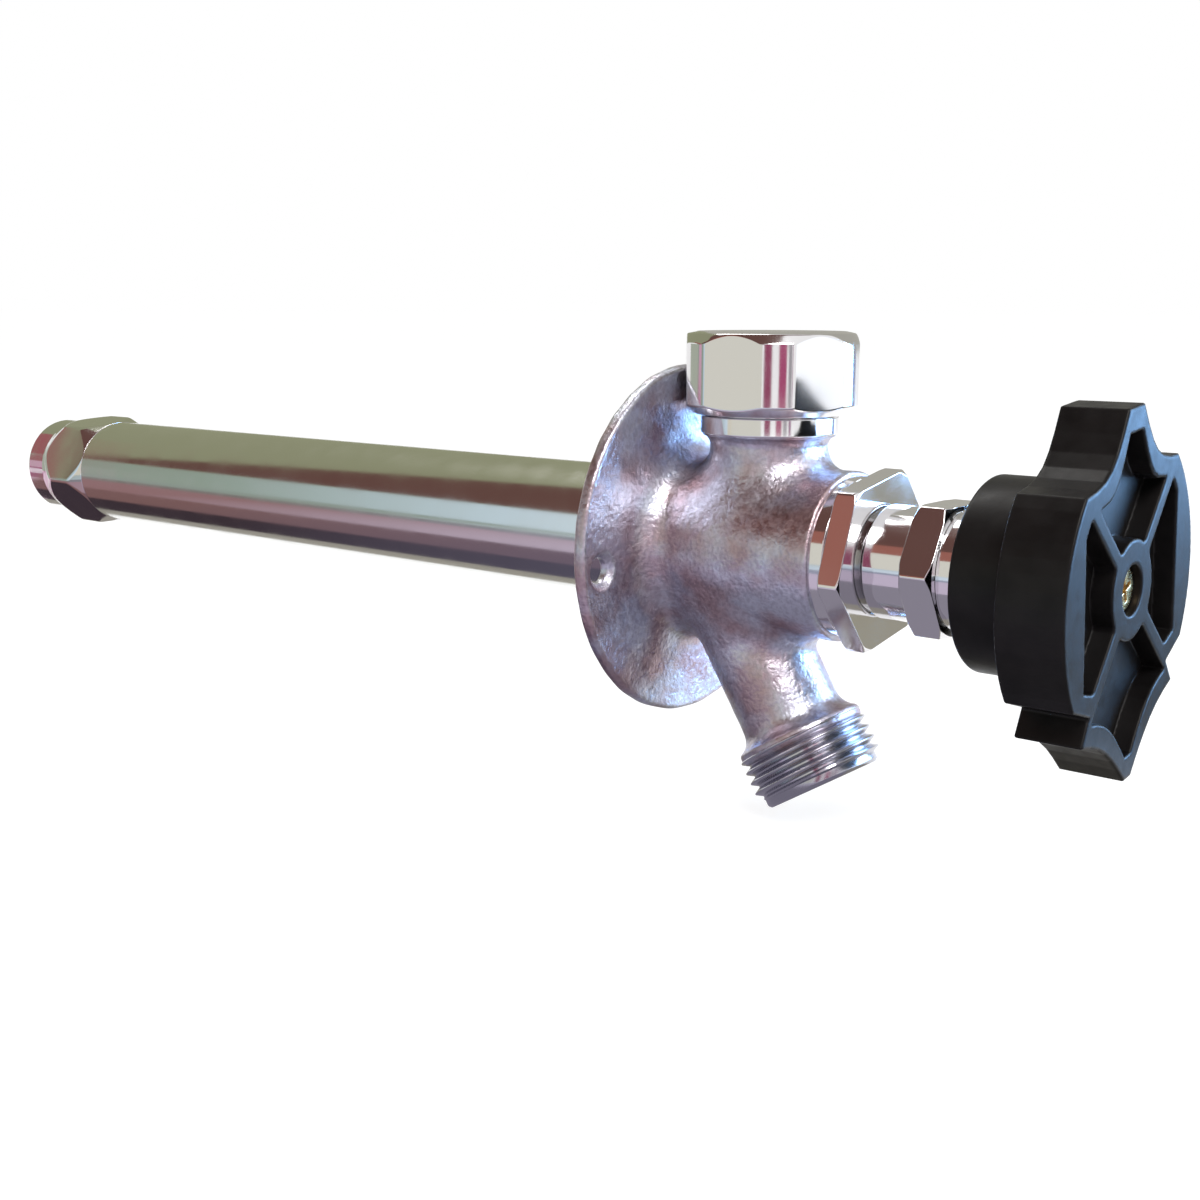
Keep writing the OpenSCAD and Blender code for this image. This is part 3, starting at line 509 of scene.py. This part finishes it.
def hose_thread():
    """The spout's mouth: helical thread outside, lip, and the start of the bore."""
    phases = [0.0, 0.07, 0.25, 0.43, 0.48, 0.52, 0.57, 0.75, 0.93]
    heights = [0.0, 0.0, 0.5, 0.97, 1.0, 1.0, 0.97, 0.5, 0.0]
    end = THREAD_START + THREAD_CRESTS * THREAD_PITCH
    turns = np.linspace(0, 1, 181)
    rows_s, rows_r = [], []
    for lap in range(-1, THREAD_CRESTS + 1):
        for phase, height in zip(phases, heights):
            s = THREAD_START + (lap + phase + turns) * THREAD_PITCH
            s = np.clip(s, THREAD_START - 0.6, end)
            fade = np.clip((end - s) / (0.35 * THREAD_PITCH), 0, 1)
            rows_s.append(s)
            rows_r.append(THREAD_ROOT_R + (THREAD_R - THREAD_ROOT_R) * height * fade)
    lip = [
        (end + 0.1, 12.1), (SPOUT_MOUTH - 0.8, 12.1), (SPOUT_MOUTH - 0.5, 12.0),
        (SPOUT_MOUTH - 0.1, 11.6), (SPOUT_MOUTH, 11.4), (SPOUT_MOUTH, 7.8),
        (SPOUT_MOUTH - 0.2, 7.4), (SPOUT_MOUTH - 0.6, 6.92), (THREAD_START - 1.5, 6.92),
        (THREAD_START - 1.5, 11.6), (THREAD_START - 0.6, THREAD_ROOT_R)
    ]
    for s, r in lip:
        rows_s.append(np.full_like(turns, s))
        rows_r.append(np.full_like(turns, r))
    s, r = np.array(rows_s).T, np.array(rows_r).T
    a = (2 * math.pi * turns)[:, None]
    points = place(s, r * np.cos(a), r * np.sin(a), SPOUT_ORIGIN, SPOUT_AXIS).reshape(-1, 3)
    count, size = s.shape
    i, j = np.meshgrid(np.arange(count - 1), np.arange(size - 1), indexing="ij")
    faces = np.stack(
        [i * size + j, (i + 1) * size + j, (i + 1) * size + j + 1, i * size + j + 1], -1
    ).reshape(-1, 4)
    add_piece(
        "hose_thread", points, faces, THREAD_CHROME_PAINTED_SHADE, "root", weld=True, flat_angle=38
    )


hose_thread()

# Barrel tube and inlet fitting
turned(
    "long_tube",
    lambda a: [
        (TUBE_BACK, TUBE_BORE_R, 0), (TUBE_BACK, TUBE_R, 0.2), (TUBE_BACK + 60, TUBE_R, 0),
        (TUBE_BACK + 120, TUBE_R, 0), (TUBE_FRONT, TUBE_R, 0.1), (TUBE_FRONT, TUBE_BORE_R, 0)
    ],
    round_angles(256), CENTRE, FRONT_AXIS, TUBE_CHROME, "root", ["barrel_tube"]
)


def inlet_section(a):
    """Solder spigot, hexagon tapered at both ends, and the sleeve with the seat."""
    side = hex_radius(a, COLLAR_FLATS, COLLAR_TURN, 1.4)
    corner = COLLAR_FLATS / math.sqrt(3)
    shoulder = COLLAR_FLATS / 2
    back_at = (side - SPIGOT_R) / (corner - SPIGOT_R) * (COLLAR_BACK - SPIGOT_END)
    front_at = (side - shoulder) / (corner - shoulder) * (TUBE_BACK - COLLAR_FRONT)
    return [
        (CUP_END, SEAT_BORE_R, 0), (CUP_END, CUP_R, 0.1), (INLET_END + 0.4, CUP_R, 0),
        (INLET_END, CUP_R + 0.4, 0), (INLET_END, SPIGOT_R - 1.0, 0.3),
        (INLET_END + 1.0, SPIGOT_R, 0.4), (SPIGOT_END, SPIGOT_R, 0.8),
        (SPIGOT_END + back_at, side, 1.2), (TUBE_BACK - front_at - 0.1, side, 1.0),
        (TUBE_BACK, shoulder, 0.12), (TUBE_BACK, SLEEVE_R, 0.05), (SLEEVE_END, SLEEVE_R, 0.2),
        (SLEEVE_END, 11.8, 0.2), (SEAT_FACE - 2.5, 11.8, 0.3), (SEAT_FACE - 2.5, 8.8, 0.3),
        (SEAT_FACE, 7.6, 0.3), (SEAT_FACE, SEAT_BORE_R, 0.2)
    ]


turned(
    "inlet_end_fitting", inlet_section, hex_angles(COLLAR_TURN), CENTRE, FRONT_AXIS,
    CHROME, "root", ["inlet_fitting"]
)


# Bonnet, packing nut and cap

BONNET_TURN = 10.0
BONNET_FLATS = 31.75
BONNET_FACE_R = 17.4


def bonnet_section(a):
    side = hex_radius(a, BONNET_FLATS, BONNET_TURN, 0.6)
    drop, face = hex_end(side, BONNET_FACE_R)
    return [
        (CHAMBER_END, 7.05, 0), (CHAMBER_END, 11.0, 0), (CHAMBER_END + 0.4, 11.4, 0),
        (BODY_FRONT + 0.02, 11.4, 0),
        (BODY_FRONT + 0.02, face - 0.4, 0.15), (BODY_FRONT + 0.02 + drop, side, 0.3),
        (BONNET_FRONT - drop, side, 0.3), (BONNET_FRONT, face, 0.25), (BONNET_FRONT, 8.9, 0.1),
        (GLAND_END - 0.4, 8.9, 0), (GLAND_END, 8.5, 0), (GLAND_END, 6.8, 0),
        (52.8, 6.8, 0), (52.8, 4.02, 0), (49.7, 4.02, 0), (49.7, 7.05, 0)
    ]


turned(
    "bonnet_hex", bonnet_section, hex_angles(BONNET_TURN), CENTRE, FRONT_AXIS,
    CHROME, "root", ["bonnet"]
)

NUT_TURN = 0.0
NUT_FLATS = 24.4


def nut_section(a):
    side = hex_radius(a, NUT_FLATS, NUT_TURN, 0.5)
    drop, face = hex_end(side, 12.7)
    return [
        (NUT_BACK, 8.94, 0), (NUT_BACK, 10.8, 0.2), (NUT_BACK + 0.3, 11.05, 0.1),
        (NUT_HEX_BACK - 0.1, 11.05, 0.15), (NUT_HEX_BACK, face, 0.15),
        (NUT_HEX_BACK + drop, side, 0.3), (NUT_HEX_END - drop, side, 0.3),
        (NUT_HEX_END, face, 0.15), (NUT_HEX_END + 0.05, 11.25, 0.15), (NUT_FRONT, 11.25, 0.4),
        (NUT_FRONT, 4.02, 0.1), (58.0, 4.02, 0), (58.0, 8.94, 0)
    ]


turned(
    "gland_nut", nut_section, hex_angles(NUT_TURN), CENTRE, FRONT_AXIS,
    CHROME, "root", ["packing_nut"]
)

CAP_R = 17.8
CAP_FLATS = 33.6
CAP_TURN = 37.0
CAP_FOOT = 2.6


def cap_radius(a):
    """Round cap with six flats milled on it, their edges slightly softened."""
    side = hex_radius(a, CAP_FLATS, CAP_TURN, 0.1)
    soft = 0.12
    overlap = max(0, soft - abs(side - CAP_R))
    return min(side, CAP_R) - overlap ** 2 / (4 * soft)


def cap_section(a):
    side = cap_radius(a)
    foot_h = 0.7 * CAP_FOOT
    foot_z = foot_h * (side - (CAP_R - CAP_FOOT)) / CAP_FOOT
    top_z = CAP_H - 2.2 + (CAP_R - side) * 1.5
    return [
        (CAP_H, 0, 0), (CAP_H, CAP_R - 3.0, 0.3), (CAP_H - 0.4, CAP_R - 1.2, 0.3),
        (top_z, side, 0.3), (foot_z, side, 0.35), (0, CAP_R - CAP_FOOT, 0.2),
        (0, 12.64, 0.1), (8.9, 12.64, 0), (8.9, 10.0, 0), (CAP_H - 3, 10.0, 0.3), (CAP_H - 3, 0, 0)
    ]


turned(
    "breaker_cap", cap_section, round_angles(288), TOWER_ORIGIN + CAP_FOOT_Z * UP_AXIS, UP_AXIS,
    CHROME, "root", ["vacuum_breaker_cap"]
)


# Handle

GRIP_R = 29.0
HUB_FACE_R = 9.0
SPOKE_HALF = 1.5
POCKET_REACH = 20.5
RECESS_R = 4.5
ROD_BORE_R = 4.01
SCREW_BORE_R = 1.94


def polar(radius, degrees):
    return np.array([
        radius * math.cos(math.radians(degrees)),
        radius * math.sin(math.radians(degrees))
    ])


def bowed(a, b, bow, steps=6):
    """Points of a shallow hollow curve between two points."""
    out = []
    for i in range(1, steps):
        t = i / steps
        p = a + (b - a) * t
        out.append(p - p / np.linalg.norm(p) * bow * 4 * t * (1 - t))
    return out


def grip_outline():
    top = np.array([3.4, 32.0])
    foot = np.array([1.6, -35.0])
    lobe = polar(GRIP_R + 1.7, -47)
    arc = [polar(GRIP_R, a) for a in np.linspace(-31, 44.5, 15)]
    right = [
        foot, *bowed(foot, lobe, 2.0), lobe, polar(GRIP_R - 3.7, -45), *arc,
        *bowed(arc[-1], top, 3.6), top
    ]
    return np.array(right + [p * [-1, 1] for p in right[::-1]])


def outline_distance(u, v, outline):
    """Signed distance from a closed outline in the plane, minus inside."""
    best = np.full(u.shape, 1e9)
    inside = np.zeros(u.shape, dtype=bool)
    for a, b in zip(outline, np.roll(outline, -1, axis=0)):
        edge = b - a
        du, dv = u - a[0], v - a[1]
        t = np.clip((du * edge[0] + dv * edge[1]) / (edge @ edge), 0, 1)
        best = np.minimum(best, (du - edge[0] * t) ** 2 + (dv - edge[1] * t) ** 2)
        if a[1] != b[1]:
            crosses = ((a[1] > v) != (b[1] > v)) & (u < edge[0] * (v - a[1]) / edge[1] + a[0])
            inside ^= crosses
    distance = np.sqrt(best)
    return np.where(inside, -distance, distance)


OUTLINE = grip_outline()
POCKET_EDGE = np.array([p * (1 - 4.5 / np.linalg.norm(p)) for p in OUTLINE])


def handle_field(x, y, z):
    station = -y
    u = x * math.cos(HANDLE_TURN) + z * math.sin(HANDLE_TURN)
    v = -x * math.sin(HANDLE_TURN) + z * math.cos(HANDLE_TURN)
    from_axis = np.hypot(u, v)
    soft = 0.45
    edge = outline_distance(u, v, OUTLINE) + soft
    deep = np.abs(station - (GRIP_BACK + GRIP_FRONT) / 2) - (GRIP_FRONT - GRIP_BACK) / 2 + soft
    grip = np.minimum(np.maximum(edge, deep), 0)
    grip = grip + np.hypot(np.maximum(edge, 0), np.maximum(deep, 0)) - soft
    hub = disc(from_axis, station, HUB_R, HUB_START, GRIP_BACK + 3, 0.7)
    shape = smooth_join(grip, hub, 0.8)
    hollow = np.maximum(disc(from_axis, station, HUB_R - 3, 60, GRIP_BACK), HUB_FACE_R - from_axis)
    shape = smooth_cut(shape, hollow, 0.4)
    pocket = np.maximum(outline_distance(u, v, POCKET_EDGE), np.abs(u) - POCKET_REACH)
    spoke = np.minimum(np.abs(u - v), np.abs(u + v)) / math.sqrt(2) - SPOKE_HALF
    solid = smooth_join(spoke, from_axis - HUB_FACE_R, 1.0)
    pocket = -smooth_join(-pocket, solid, 0.8)
    draft = 0.02 * (GRIP_FRONT - station)
    pocket = np.maximum(pocket + draft, (GRIP_FRONT - POCKET_DEPTH) - station)
    shape = smooth_cut(shape, pocket, 0.35)
    recess = disc(from_axis, station, RECESS_R, GRIP_FRONT - 3.6, GRIP_FRONT + 3)
    shape = smooth_cut(shape, recess, 0.3)
    bore = disc(from_axis, station, ROD_BORE_R, 60, 79.2)
    shape = np.maximum(shape, -bore)
    return np.maximum(shape, -disc(from_axis, station, SCREW_BORE_R, 60, GRIP_FRONT))


cell = 0.34
points, faces = field_mesh(handle_field, (-30.5, -96.3, -35.5), (30.5, -70.1, 33.0), cell)
add_piece("lobed_handle", points, faces, BLACK, "stem", ["handle"])


def screw_field(x, y, z):
    station = -y
    from_axis = np.hypot(x, z)
    head = disc(from_axis, station, 4.2, 92.6, 94.8, 0.6)
    shank = disc(from_axis, station, 1.9, 81.4, 93)
    shape = np.minimum(head, shank)
    turn = math.radians(20)
    u = x * math.cos(turn) + z * math.sin(turn)
    v = -x * math.sin(turn) + z * math.cos(turn)
    for across, along in ((u, v), (v, u)):
        arm = np.maximum(np.abs(across) - 0.45, np.abs(along) - 2.5)
        slot = np.maximum(arm, 93.8 - station - 0.25 * (2.5 - np.abs(along)))
        shape = smooth_cut(shape, slot, 0.08)
    return shape


points, faces = field_mesh(screw_field, (-4.3, -94.9, -4.3), (4.3, -81.3, 4.3), 0.16)
add_piece("handle_fixing_screw", points, faces, BRASS, "stem", ["handle_screw"])


# Relief spring

SPRING_STATION = -181.3
SPRING_MID_R = 2.15
SPRING_WIRE_R = 0.3
SPRING_TURNS = 4
SPRING_FOOT_Z = -3.194
SPRING_HEAD_Z = 1.912


def relief_coil():
    """One wire along a helix, capped at both ends."""
    sides = 12
    rings_a_turn = 36
    turns = np.linspace(0, 1, SPRING_TURNS * rings_a_turn + 1)[:, None]
    around = np.linspace(0, 2 * math.pi, sides, endpoint=False)[None, :]
    r = SPRING_MID_R + SPRING_WIRE_R * np.cos(around) + 0 * turns
    a = 2 * math.pi * SPRING_TURNS * turns
    z = SPRING_FOOT_Z + (SPRING_HEAD_Z - SPRING_FOOT_Z) * turns + 0.26 * np.sin(around)
    points = np.stack([r * np.cos(a), -SPRING_STATION + r * np.sin(a), z], -1).reshape(-1, 3)
    count = len(turns)
    faces = [list(range(sides))[::-1], [(count - 1) * sides + k for k in range(sides)]]
    for i in range(count - 1):
        for k in range(sides):
            j = (k + 1) % sides
            faces.append([i * sides + k, i * sides + j, (i + 1) * sides + j, (i + 1) * sides + k])
    coil = add_piece(
        "relief_coil", points, faces, STEEL, "plunger", ["relief_spring"], weld=True
    )
    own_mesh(coil)


relief_coil()


# Floor, reflection cards, lamps and world

def stage_mesh(name, points, faces, material):
    mesh = bpy.data.meshes.new(name)
    mesh.from_pydata([tuple(p) for p in points], [], faces)
    mesh.materials.append(material)
    thing = bpy.data.objects.new(name, mesh)
    bpy.context.scene.collection.objects.link(thing)
    return thing


def seen_rays(tree):
    """1 for rays that look at a surface, straight on or in a mirror or glass, and 0 for light."""
    paths = tree.nodes.new("ShaderNodeLightPath")
    value = paths.outputs["Is Camera Ray"]
    for kind in ("Is Glossy Ray", "Is Transmission Ray"):
        larger = tree.nodes.new("ShaderNodeMath")
        larger.operation = "MAXIMUM"
        tree.links.new(value, larger.inputs[0])
        tree.links.new(paths.outputs[kind], larger.inputs[1])
        value = larger.outputs[0]
    return value


def floor_material():
    """Pale floor. Where it is looked at, most of its white is its own, so its shadow is soft."""
    material = new_material("pale_floor")
    tree = material.node_tree
    tree.nodes.clear()
    out = tree.nodes.new("ShaderNodeOutputMaterial")
    diffuse = tree.nodes.new("ShaderNodeBsdfDiffuse")
    glow = tree.nodes.new("ShaderNodeEmission")
    blend = tree.nodes.new("ShaderNodeMixShader")
    diffuse.inputs["Color"].default_value = (0.9, 0.9, 0.9, 1)
    glow.inputs["Strength"].default_value = 1.20
    tree.links.new(span(tree, seen_rays(tree), 0.0, 0.72, 0.0, 1.0), blend.inputs[0])
    tree.links.new(diffuse.outputs[0], blend.inputs[1])
    tree.links.new(glow.outputs[0], blend.inputs[2])
    tree.links.new(blend.outputs[0], out.inputs[0])
    return material


FLOOR_Z = -0.0545
stage_mesh(
    "floor",
    [(-30, -30, FLOOR_Z), (30, -30, FLOOR_Z), (30, 30, FLOOR_Z), (-30, 30, FLOOR_Z)],
    [(0, 1, 2, 3)], floor_material()
)


def card_material(name, color, far_color=None, near=0.0, far=1.0, strength=1.0):
    """Plain glow, or one that turns from one colour to another between two depths y."""
    material = new_material(name)
    tree = material.node_tree
    tree.nodes.clear()
    out = tree.nodes.new("ShaderNodeOutputMaterial")
    glow = tree.nodes.new("ShaderNodeEmission")
    set_inputs(glow, {"Color": (*color, 1), "Strength": strength})
    if far_color is not None:
        place = tree.nodes.new("ShaderNodeNewGeometry")
        split = tree.nodes.new("ShaderNodeSeparateXYZ")
        tree.links.new(place.outputs["Position"], split.inputs[0])
        depth = span(tree, split.outputs["Y"], 0.0, 1.0, near, far)
        tree.links.new(ramp(tree, depth, color, far_color, 0.0, 1.0), glow.inputs["Color"])
    tree.links.new(glow.outputs[0], out.inputs[0])
    return material


def as_material(name, look):
    """A card's look is a material, or a colour that it glows with."""
    return card_material(name, look) if isinstance(look, tuple) else look


def only_in_reflections(thing):
    """Cards show in reflections alone: they give no diffuse light and cast no shadow.

    Rough gloss takes their colour too, as on the casting and on the black plastic."""
    thing.visible_camera = False
    thing.visible_diffuse = False
    thing.visible_transmission = False
    thing.visible_volume_scatter = False
    thing.visible_shadow = False


def band(name, near, far, look, radius=0.5):
    """A curved reflection card round the tube's axis.

    Near and far are each a depth y with the two angles between which the card runs there."""
    steps = 24
    points, faces = [], []
    for k in range(steps + 1):
        for y, start, end in (near, far):
            a = math.radians(start + (end - start) * k / steps)
            points.append((radius * math.cos(a), y, radius * math.sin(a)))
    for k in range(steps):
        faces.append((2 * k, 2 * k + 1, 2 * k + 3, 2 * k + 2))
    only_in_reflections(stage_mesh(name, points, faces, as_material(name, look)))


def card(name, toward, width, height, color, strength=1.0, distance=0.7, middle=(0, -0.03, 0)):
    """A flat reflection card that faces the object from a given direction."""
    d = np.array(toward, dtype=float)
    d /= np.linalg.norm(d)
    side = np.cross(d, UP_AXIS)
    side /= np.linalg.norm(side)
    up = np.cross(side, d)
    spot = np.array(middle) + d * distance
    corners = [
        spot + side * sx * width / 2 + up * sz * height / 2
        for sx, sz in ((-1, -1), (1, -1), (1, 1), (-1, 1))
    ]
    material = card_material(name, color, strength=strength)
    only_in_reflections(stage_mesh(name, corners, [(0, 1, 2, 3)], material))


def floor_card(name, x, y, look, rise=0.001):
    """A flat reflection card just above the floor, between two x and two y positions."""
    z = FLOOR_Z + rise
    corners = [(x[0], y[0], z), (x[1], y[0], z), (x[1], y[1], z), (x[0], y[1], z)]
    only_in_reflections(stage_mesh(name, corners, [(0, 1, 2, 3)], as_material(name, look)))


# Bands seen in the tube and in the front parts, from their upper edge down
OLIVE = (0.30, 0.31, 0.20)
DIM = (0.44, 0.43, 0.38)
BROWN = (0.14, 0.07, 0.06)
COPPER = (0.36, 0.14, 0.11)
RUST = (0.36, 0.10, 0.12)
ROSE = (0.66, 0.38, 0.50)
BEIGE = (0.74, 0.73, 0.65)
CREAM = (0.74, 0.70, 0.58)
SKY = card_material("card_sky", (0.66, 0.80, 0.92), (0.30, 0.37, 0.31), 0.42, 0.80)
band("card_olive", (0.36, 12, 153), (1.6, 12, 153), OLIVE)
band("card_dim", (-0.3, 3, 62), (0.36, 3, 62), DIM)
band("card_brown", (-0.2, 62, 153), (0.38, 100, 152), BROWN, 0.49)
band("card_wedge", (0.38, 100, 152), (0.97, 147, 152), BROWN, 0.49)
band("card_copper", (0.10, 140, 158), (0.29, 140, 156), COPPER, 0.485)
band("card_rust", (1.0, 95, 170), (1.3, 95, 170), RUST, 0.48)
band("card_rose", (1.0, 170, 192), (1.3, 170, 192), ROSE, 0.48)
band("card_beige", (-0.2, 153.2, 192), (0.29, 152.5, 192), BEIGE)
band("card_cream", (0.29, 152.5, 192), (0.39, 152.5, 192), CREAM)
band("card_sky", (0.39, 152.5, 192), (1.6, 152.5, 192), SKY)

# Stripes on the floor, seen in the lower half of the tube. Their colours change with the depth
LONG = (-0.3, 1.6)
UNDER_TUBE = (0.02, 1.6)
UNDER_FRONT = (-0.3, 0.02)
PALE_GLOW = card_material("floor_pale", (0.72, 0.84, 0.96), (0.30, 0.36, 0.32), 0.05, 0.40)
MAUVE_GLOW = card_material("floor_mauve", (0.34, 0.36, 0.46), (0.22, 0.20, 0.19), 0.05, 0.35)
PINK_GLOW = card_material("floor_pink", (0.60, 0.52, 0.66), (0.32, 0.18, 0.19), 0.05, 0.30)
PLUM_GLOW = card_material("floor_plum", (0.16, 0.13, 0.19), (0.22, 0.12, 0.12), 0.02, 0.25)
DARK_GLOW = card_material("floor_dark", (0.11, 0.10, 0.15), (0.05, 0.035, 0.045), 0.02, 0.20)
GREY_GLOW = (0.36, 0.34, 0.30)
floor_card("floor_pale", (-0.60, -0.235), LONG, PALE_GLOW)
floor_card("floor_mauve", (-0.235, -0.165), LONG, MAUVE_GLOW)
floor_card("floor_pink", (-0.165, -0.070), LONG, PINK_GLOW)
floor_card("floor_plum", (-0.070, -0.032), UNDER_TUBE, PLUM_GLOW)
floor_card("floor_dark", (-0.032, 0.000), UNDER_TUBE, DARK_GLOW)
floor_card("floor_lilac", (-0.070, 0.000), UNDER_FRONT, (0.28, 0.26, 0.32))
floor_card("floor_grey", (0.000, 0.021), LONG, GREY_GLOW)

# Stripes seen in the inlet spigot. On the floor its reflections start behind those of the tube
SPIGOT_DEPTH = 0.2165
DEPTH_A_SIDE_STEP = 1.64


def spigot_card(name, x, color):
    """A floor card between two x positions, from where the spigot's reflections start."""
    starts = [SPIGOT_DEPTH + DEPTH_A_SIDE_STEP * math.hypot(value, FLOOR_Z) for value in x]
    z = FLOOR_Z + 0.002
    corners = [(x[0], starts[0], z), (x[1], starts[1], z), (x[1], 1.6, z), (x[0], 1.6, z)]
    only_in_reflections(stage_mesh(name, corners, [(0, 1, 2, 3)], as_material(name, color)))


spigot_card("floor_rose", (-0.60, -0.300), (0.40, 0.08, 0.20))
spigot_card("floor_ruby", (-0.300, -0.150), (1.0, 0.80, 0.92))
spigot_card("floor_milk", (-0.150, -0.080), (0.40, 0.12, 0.24))
spigot_card("floor_wine", (-0.080, 0.000), (0.85, 0.62, 0.75))

# Cards seen in the upright round parts and in the front faces. card_slate and floor_slate glow far
# above white, because black plastic mirrors very little. The blue of the handle's face is theirs
card("card_magenta", (-0.875, -0.485, 0.15), 0.12, 0.5, (0.30, 0.05, 0.12))
card("card_shade", (-0.674, -0.738, 0.15), 0.12, 0.5, (0.42, 0.08, 0.18))
card("card_violet", (-0.530, -0.850, 0.15), 0.08, 0.5, (0.40, 0.38, 0.40))
card("card_sage", (-0.16, 0.98, 0.02), 0.22, 0.2, (0.42, 0.46, 0.38))
card("card_dusk", (0.957, -0.283, 0.05), 0.12, 0.2, (0.33, 0.36, 0.52))
card("card_bright", (0.23, -0.97, 0.02), 0.24, 0.14, (0.94, 0.97, 1.0), 1.35)
card("card_plum", (-0.40, -0.90, 0.15), 0.05, 0.5, (0.30, 0.10, 0.22))
card("card_slate", (0.76, -0.62, 0.16), 0.60, 0.30, (0.27, 0.55, 1.0), 20.0)
OLIVE_GLOW = (0.36, 0.34, 0.27)
SLATE_GLOW = card_material("floor_slate", (0.36, 0.60, 0.98), strength=4.2)
floor_card("floor_olive", (0.08, 0.66), (-0.44, -0.09), OLIVE_GLOW, 0.002)
floor_card("floor_slate", (0.06, 1.20), (-0.95, -0.12), SLATE_GLOW)


def lamp(name, spot, aim, size, power, color=(1, 1, 1)):
    data = bpy.data.lights.new(name, "AREA")
    data.shape = "DISK"
    data.size = size
    data.energy = power
    data.color = color
    made = bpy.data.objects.new(name, data)
    made.location = spot
    way = np.array(aim) - np.array(spot)
    made.rotation_euler = Vector(way).to_track_quat("-Z", "Y").to_euler()
    bpy.context.scene.collection.objects.link(made)
    return made


lamp("key_lamp", (-0.45, -0.55, 0.75), (0, -0.02, 0), 0.5, 6.0, (1.0, 0.97, 0.96))
lamp("window_lamp", (0.75, -0.55, 0.30), (0, -0.05, 0), 0.45, 5.0, (0.72, 0.86, 1.0))
lamp("top_lamp", (0.1, 0.4, 0.9), (0, 0.05, 0), 0.6, 4.0, (1.0, 0.98, 0.95))

def studio_world():
    """White where it is looked at or mirrored, and a plain grey light otherwise."""
    world = bpy.data.worlds.new("studio")
    bpy.context.scene.world = world
    world.use_nodes = True
    tree = world.node_tree
    tree.nodes.clear()
    out = tree.nodes.new("ShaderNodeOutputWorld")
    light = tree.nodes.new("ShaderNodeBackground")
    seen = tree.nodes.new("ShaderNodeBackground")
    set_inputs(light, {"Color": (1, 1, 1, 1), "Strength": 0.55})
    set_inputs(seen, {"Color": (1, 1, 1, 1), "Strength": 1.0})
    pick = tree.nodes.new("ShaderNodeMixShader")
    tree.links.new(seen_rays(tree), pick.inputs[0])
    tree.links.new(light.outputs[0], pick.inputs[1])
    tree.links.new(seen.outputs[0], pick.inputs[2])
    tree.links.new(pick.outputs[0], out.inputs["Surface"])


studio_world()

# Camera, as found from the photo
AZIMUTH = math.radians(-50.545)
ELEVATION = math.radians(10.849)
ROLL = math.radians(0.130)
DISTANCE = 0.280495
TARGET = np.array([-0.045227, -0.014232, -0.005205])

back = np.array([
    math.sin(AZIMUTH) * math.cos(ELEVATION),
    -math.cos(AZIMUTH) * math.cos(ELEVATION),
    math.sin(ELEVATION)
])
right = np.cross(-back, UP_AXIS)
right /= np.linalg.norm(right)
upward = np.cross(right, -back)
right_rolled = math.cos(ROLL) * right + math.sin(ROLL) * upward
up_rolled = -math.sin(ROLL) * right + math.cos(ROLL) * upward
data = bpy.data.cameras.new("camera")
data.lens = 45.63
data.sensor_width = 36.0
data.clip_start = 0.01
camera = bpy.data.objects.new("camera", data)
spot = TARGET + DISTANCE * back
camera.matrix_world = Matrix([
    [right_rolled[0], up_rolled[0], back[0], spot[0]],
    [right_rolled[1], up_rolled[1], back[1], spot[1]],
    [right_rolled[2], up_rolled[2], back[2], spot[2]],
    [0, 0, 0, 1]
])
bpy.context.scene.collection.objects.link(camera)
bpy.context.scene.camera = camera
bpy.context.scene.view_settings.view_transform = "Standard"
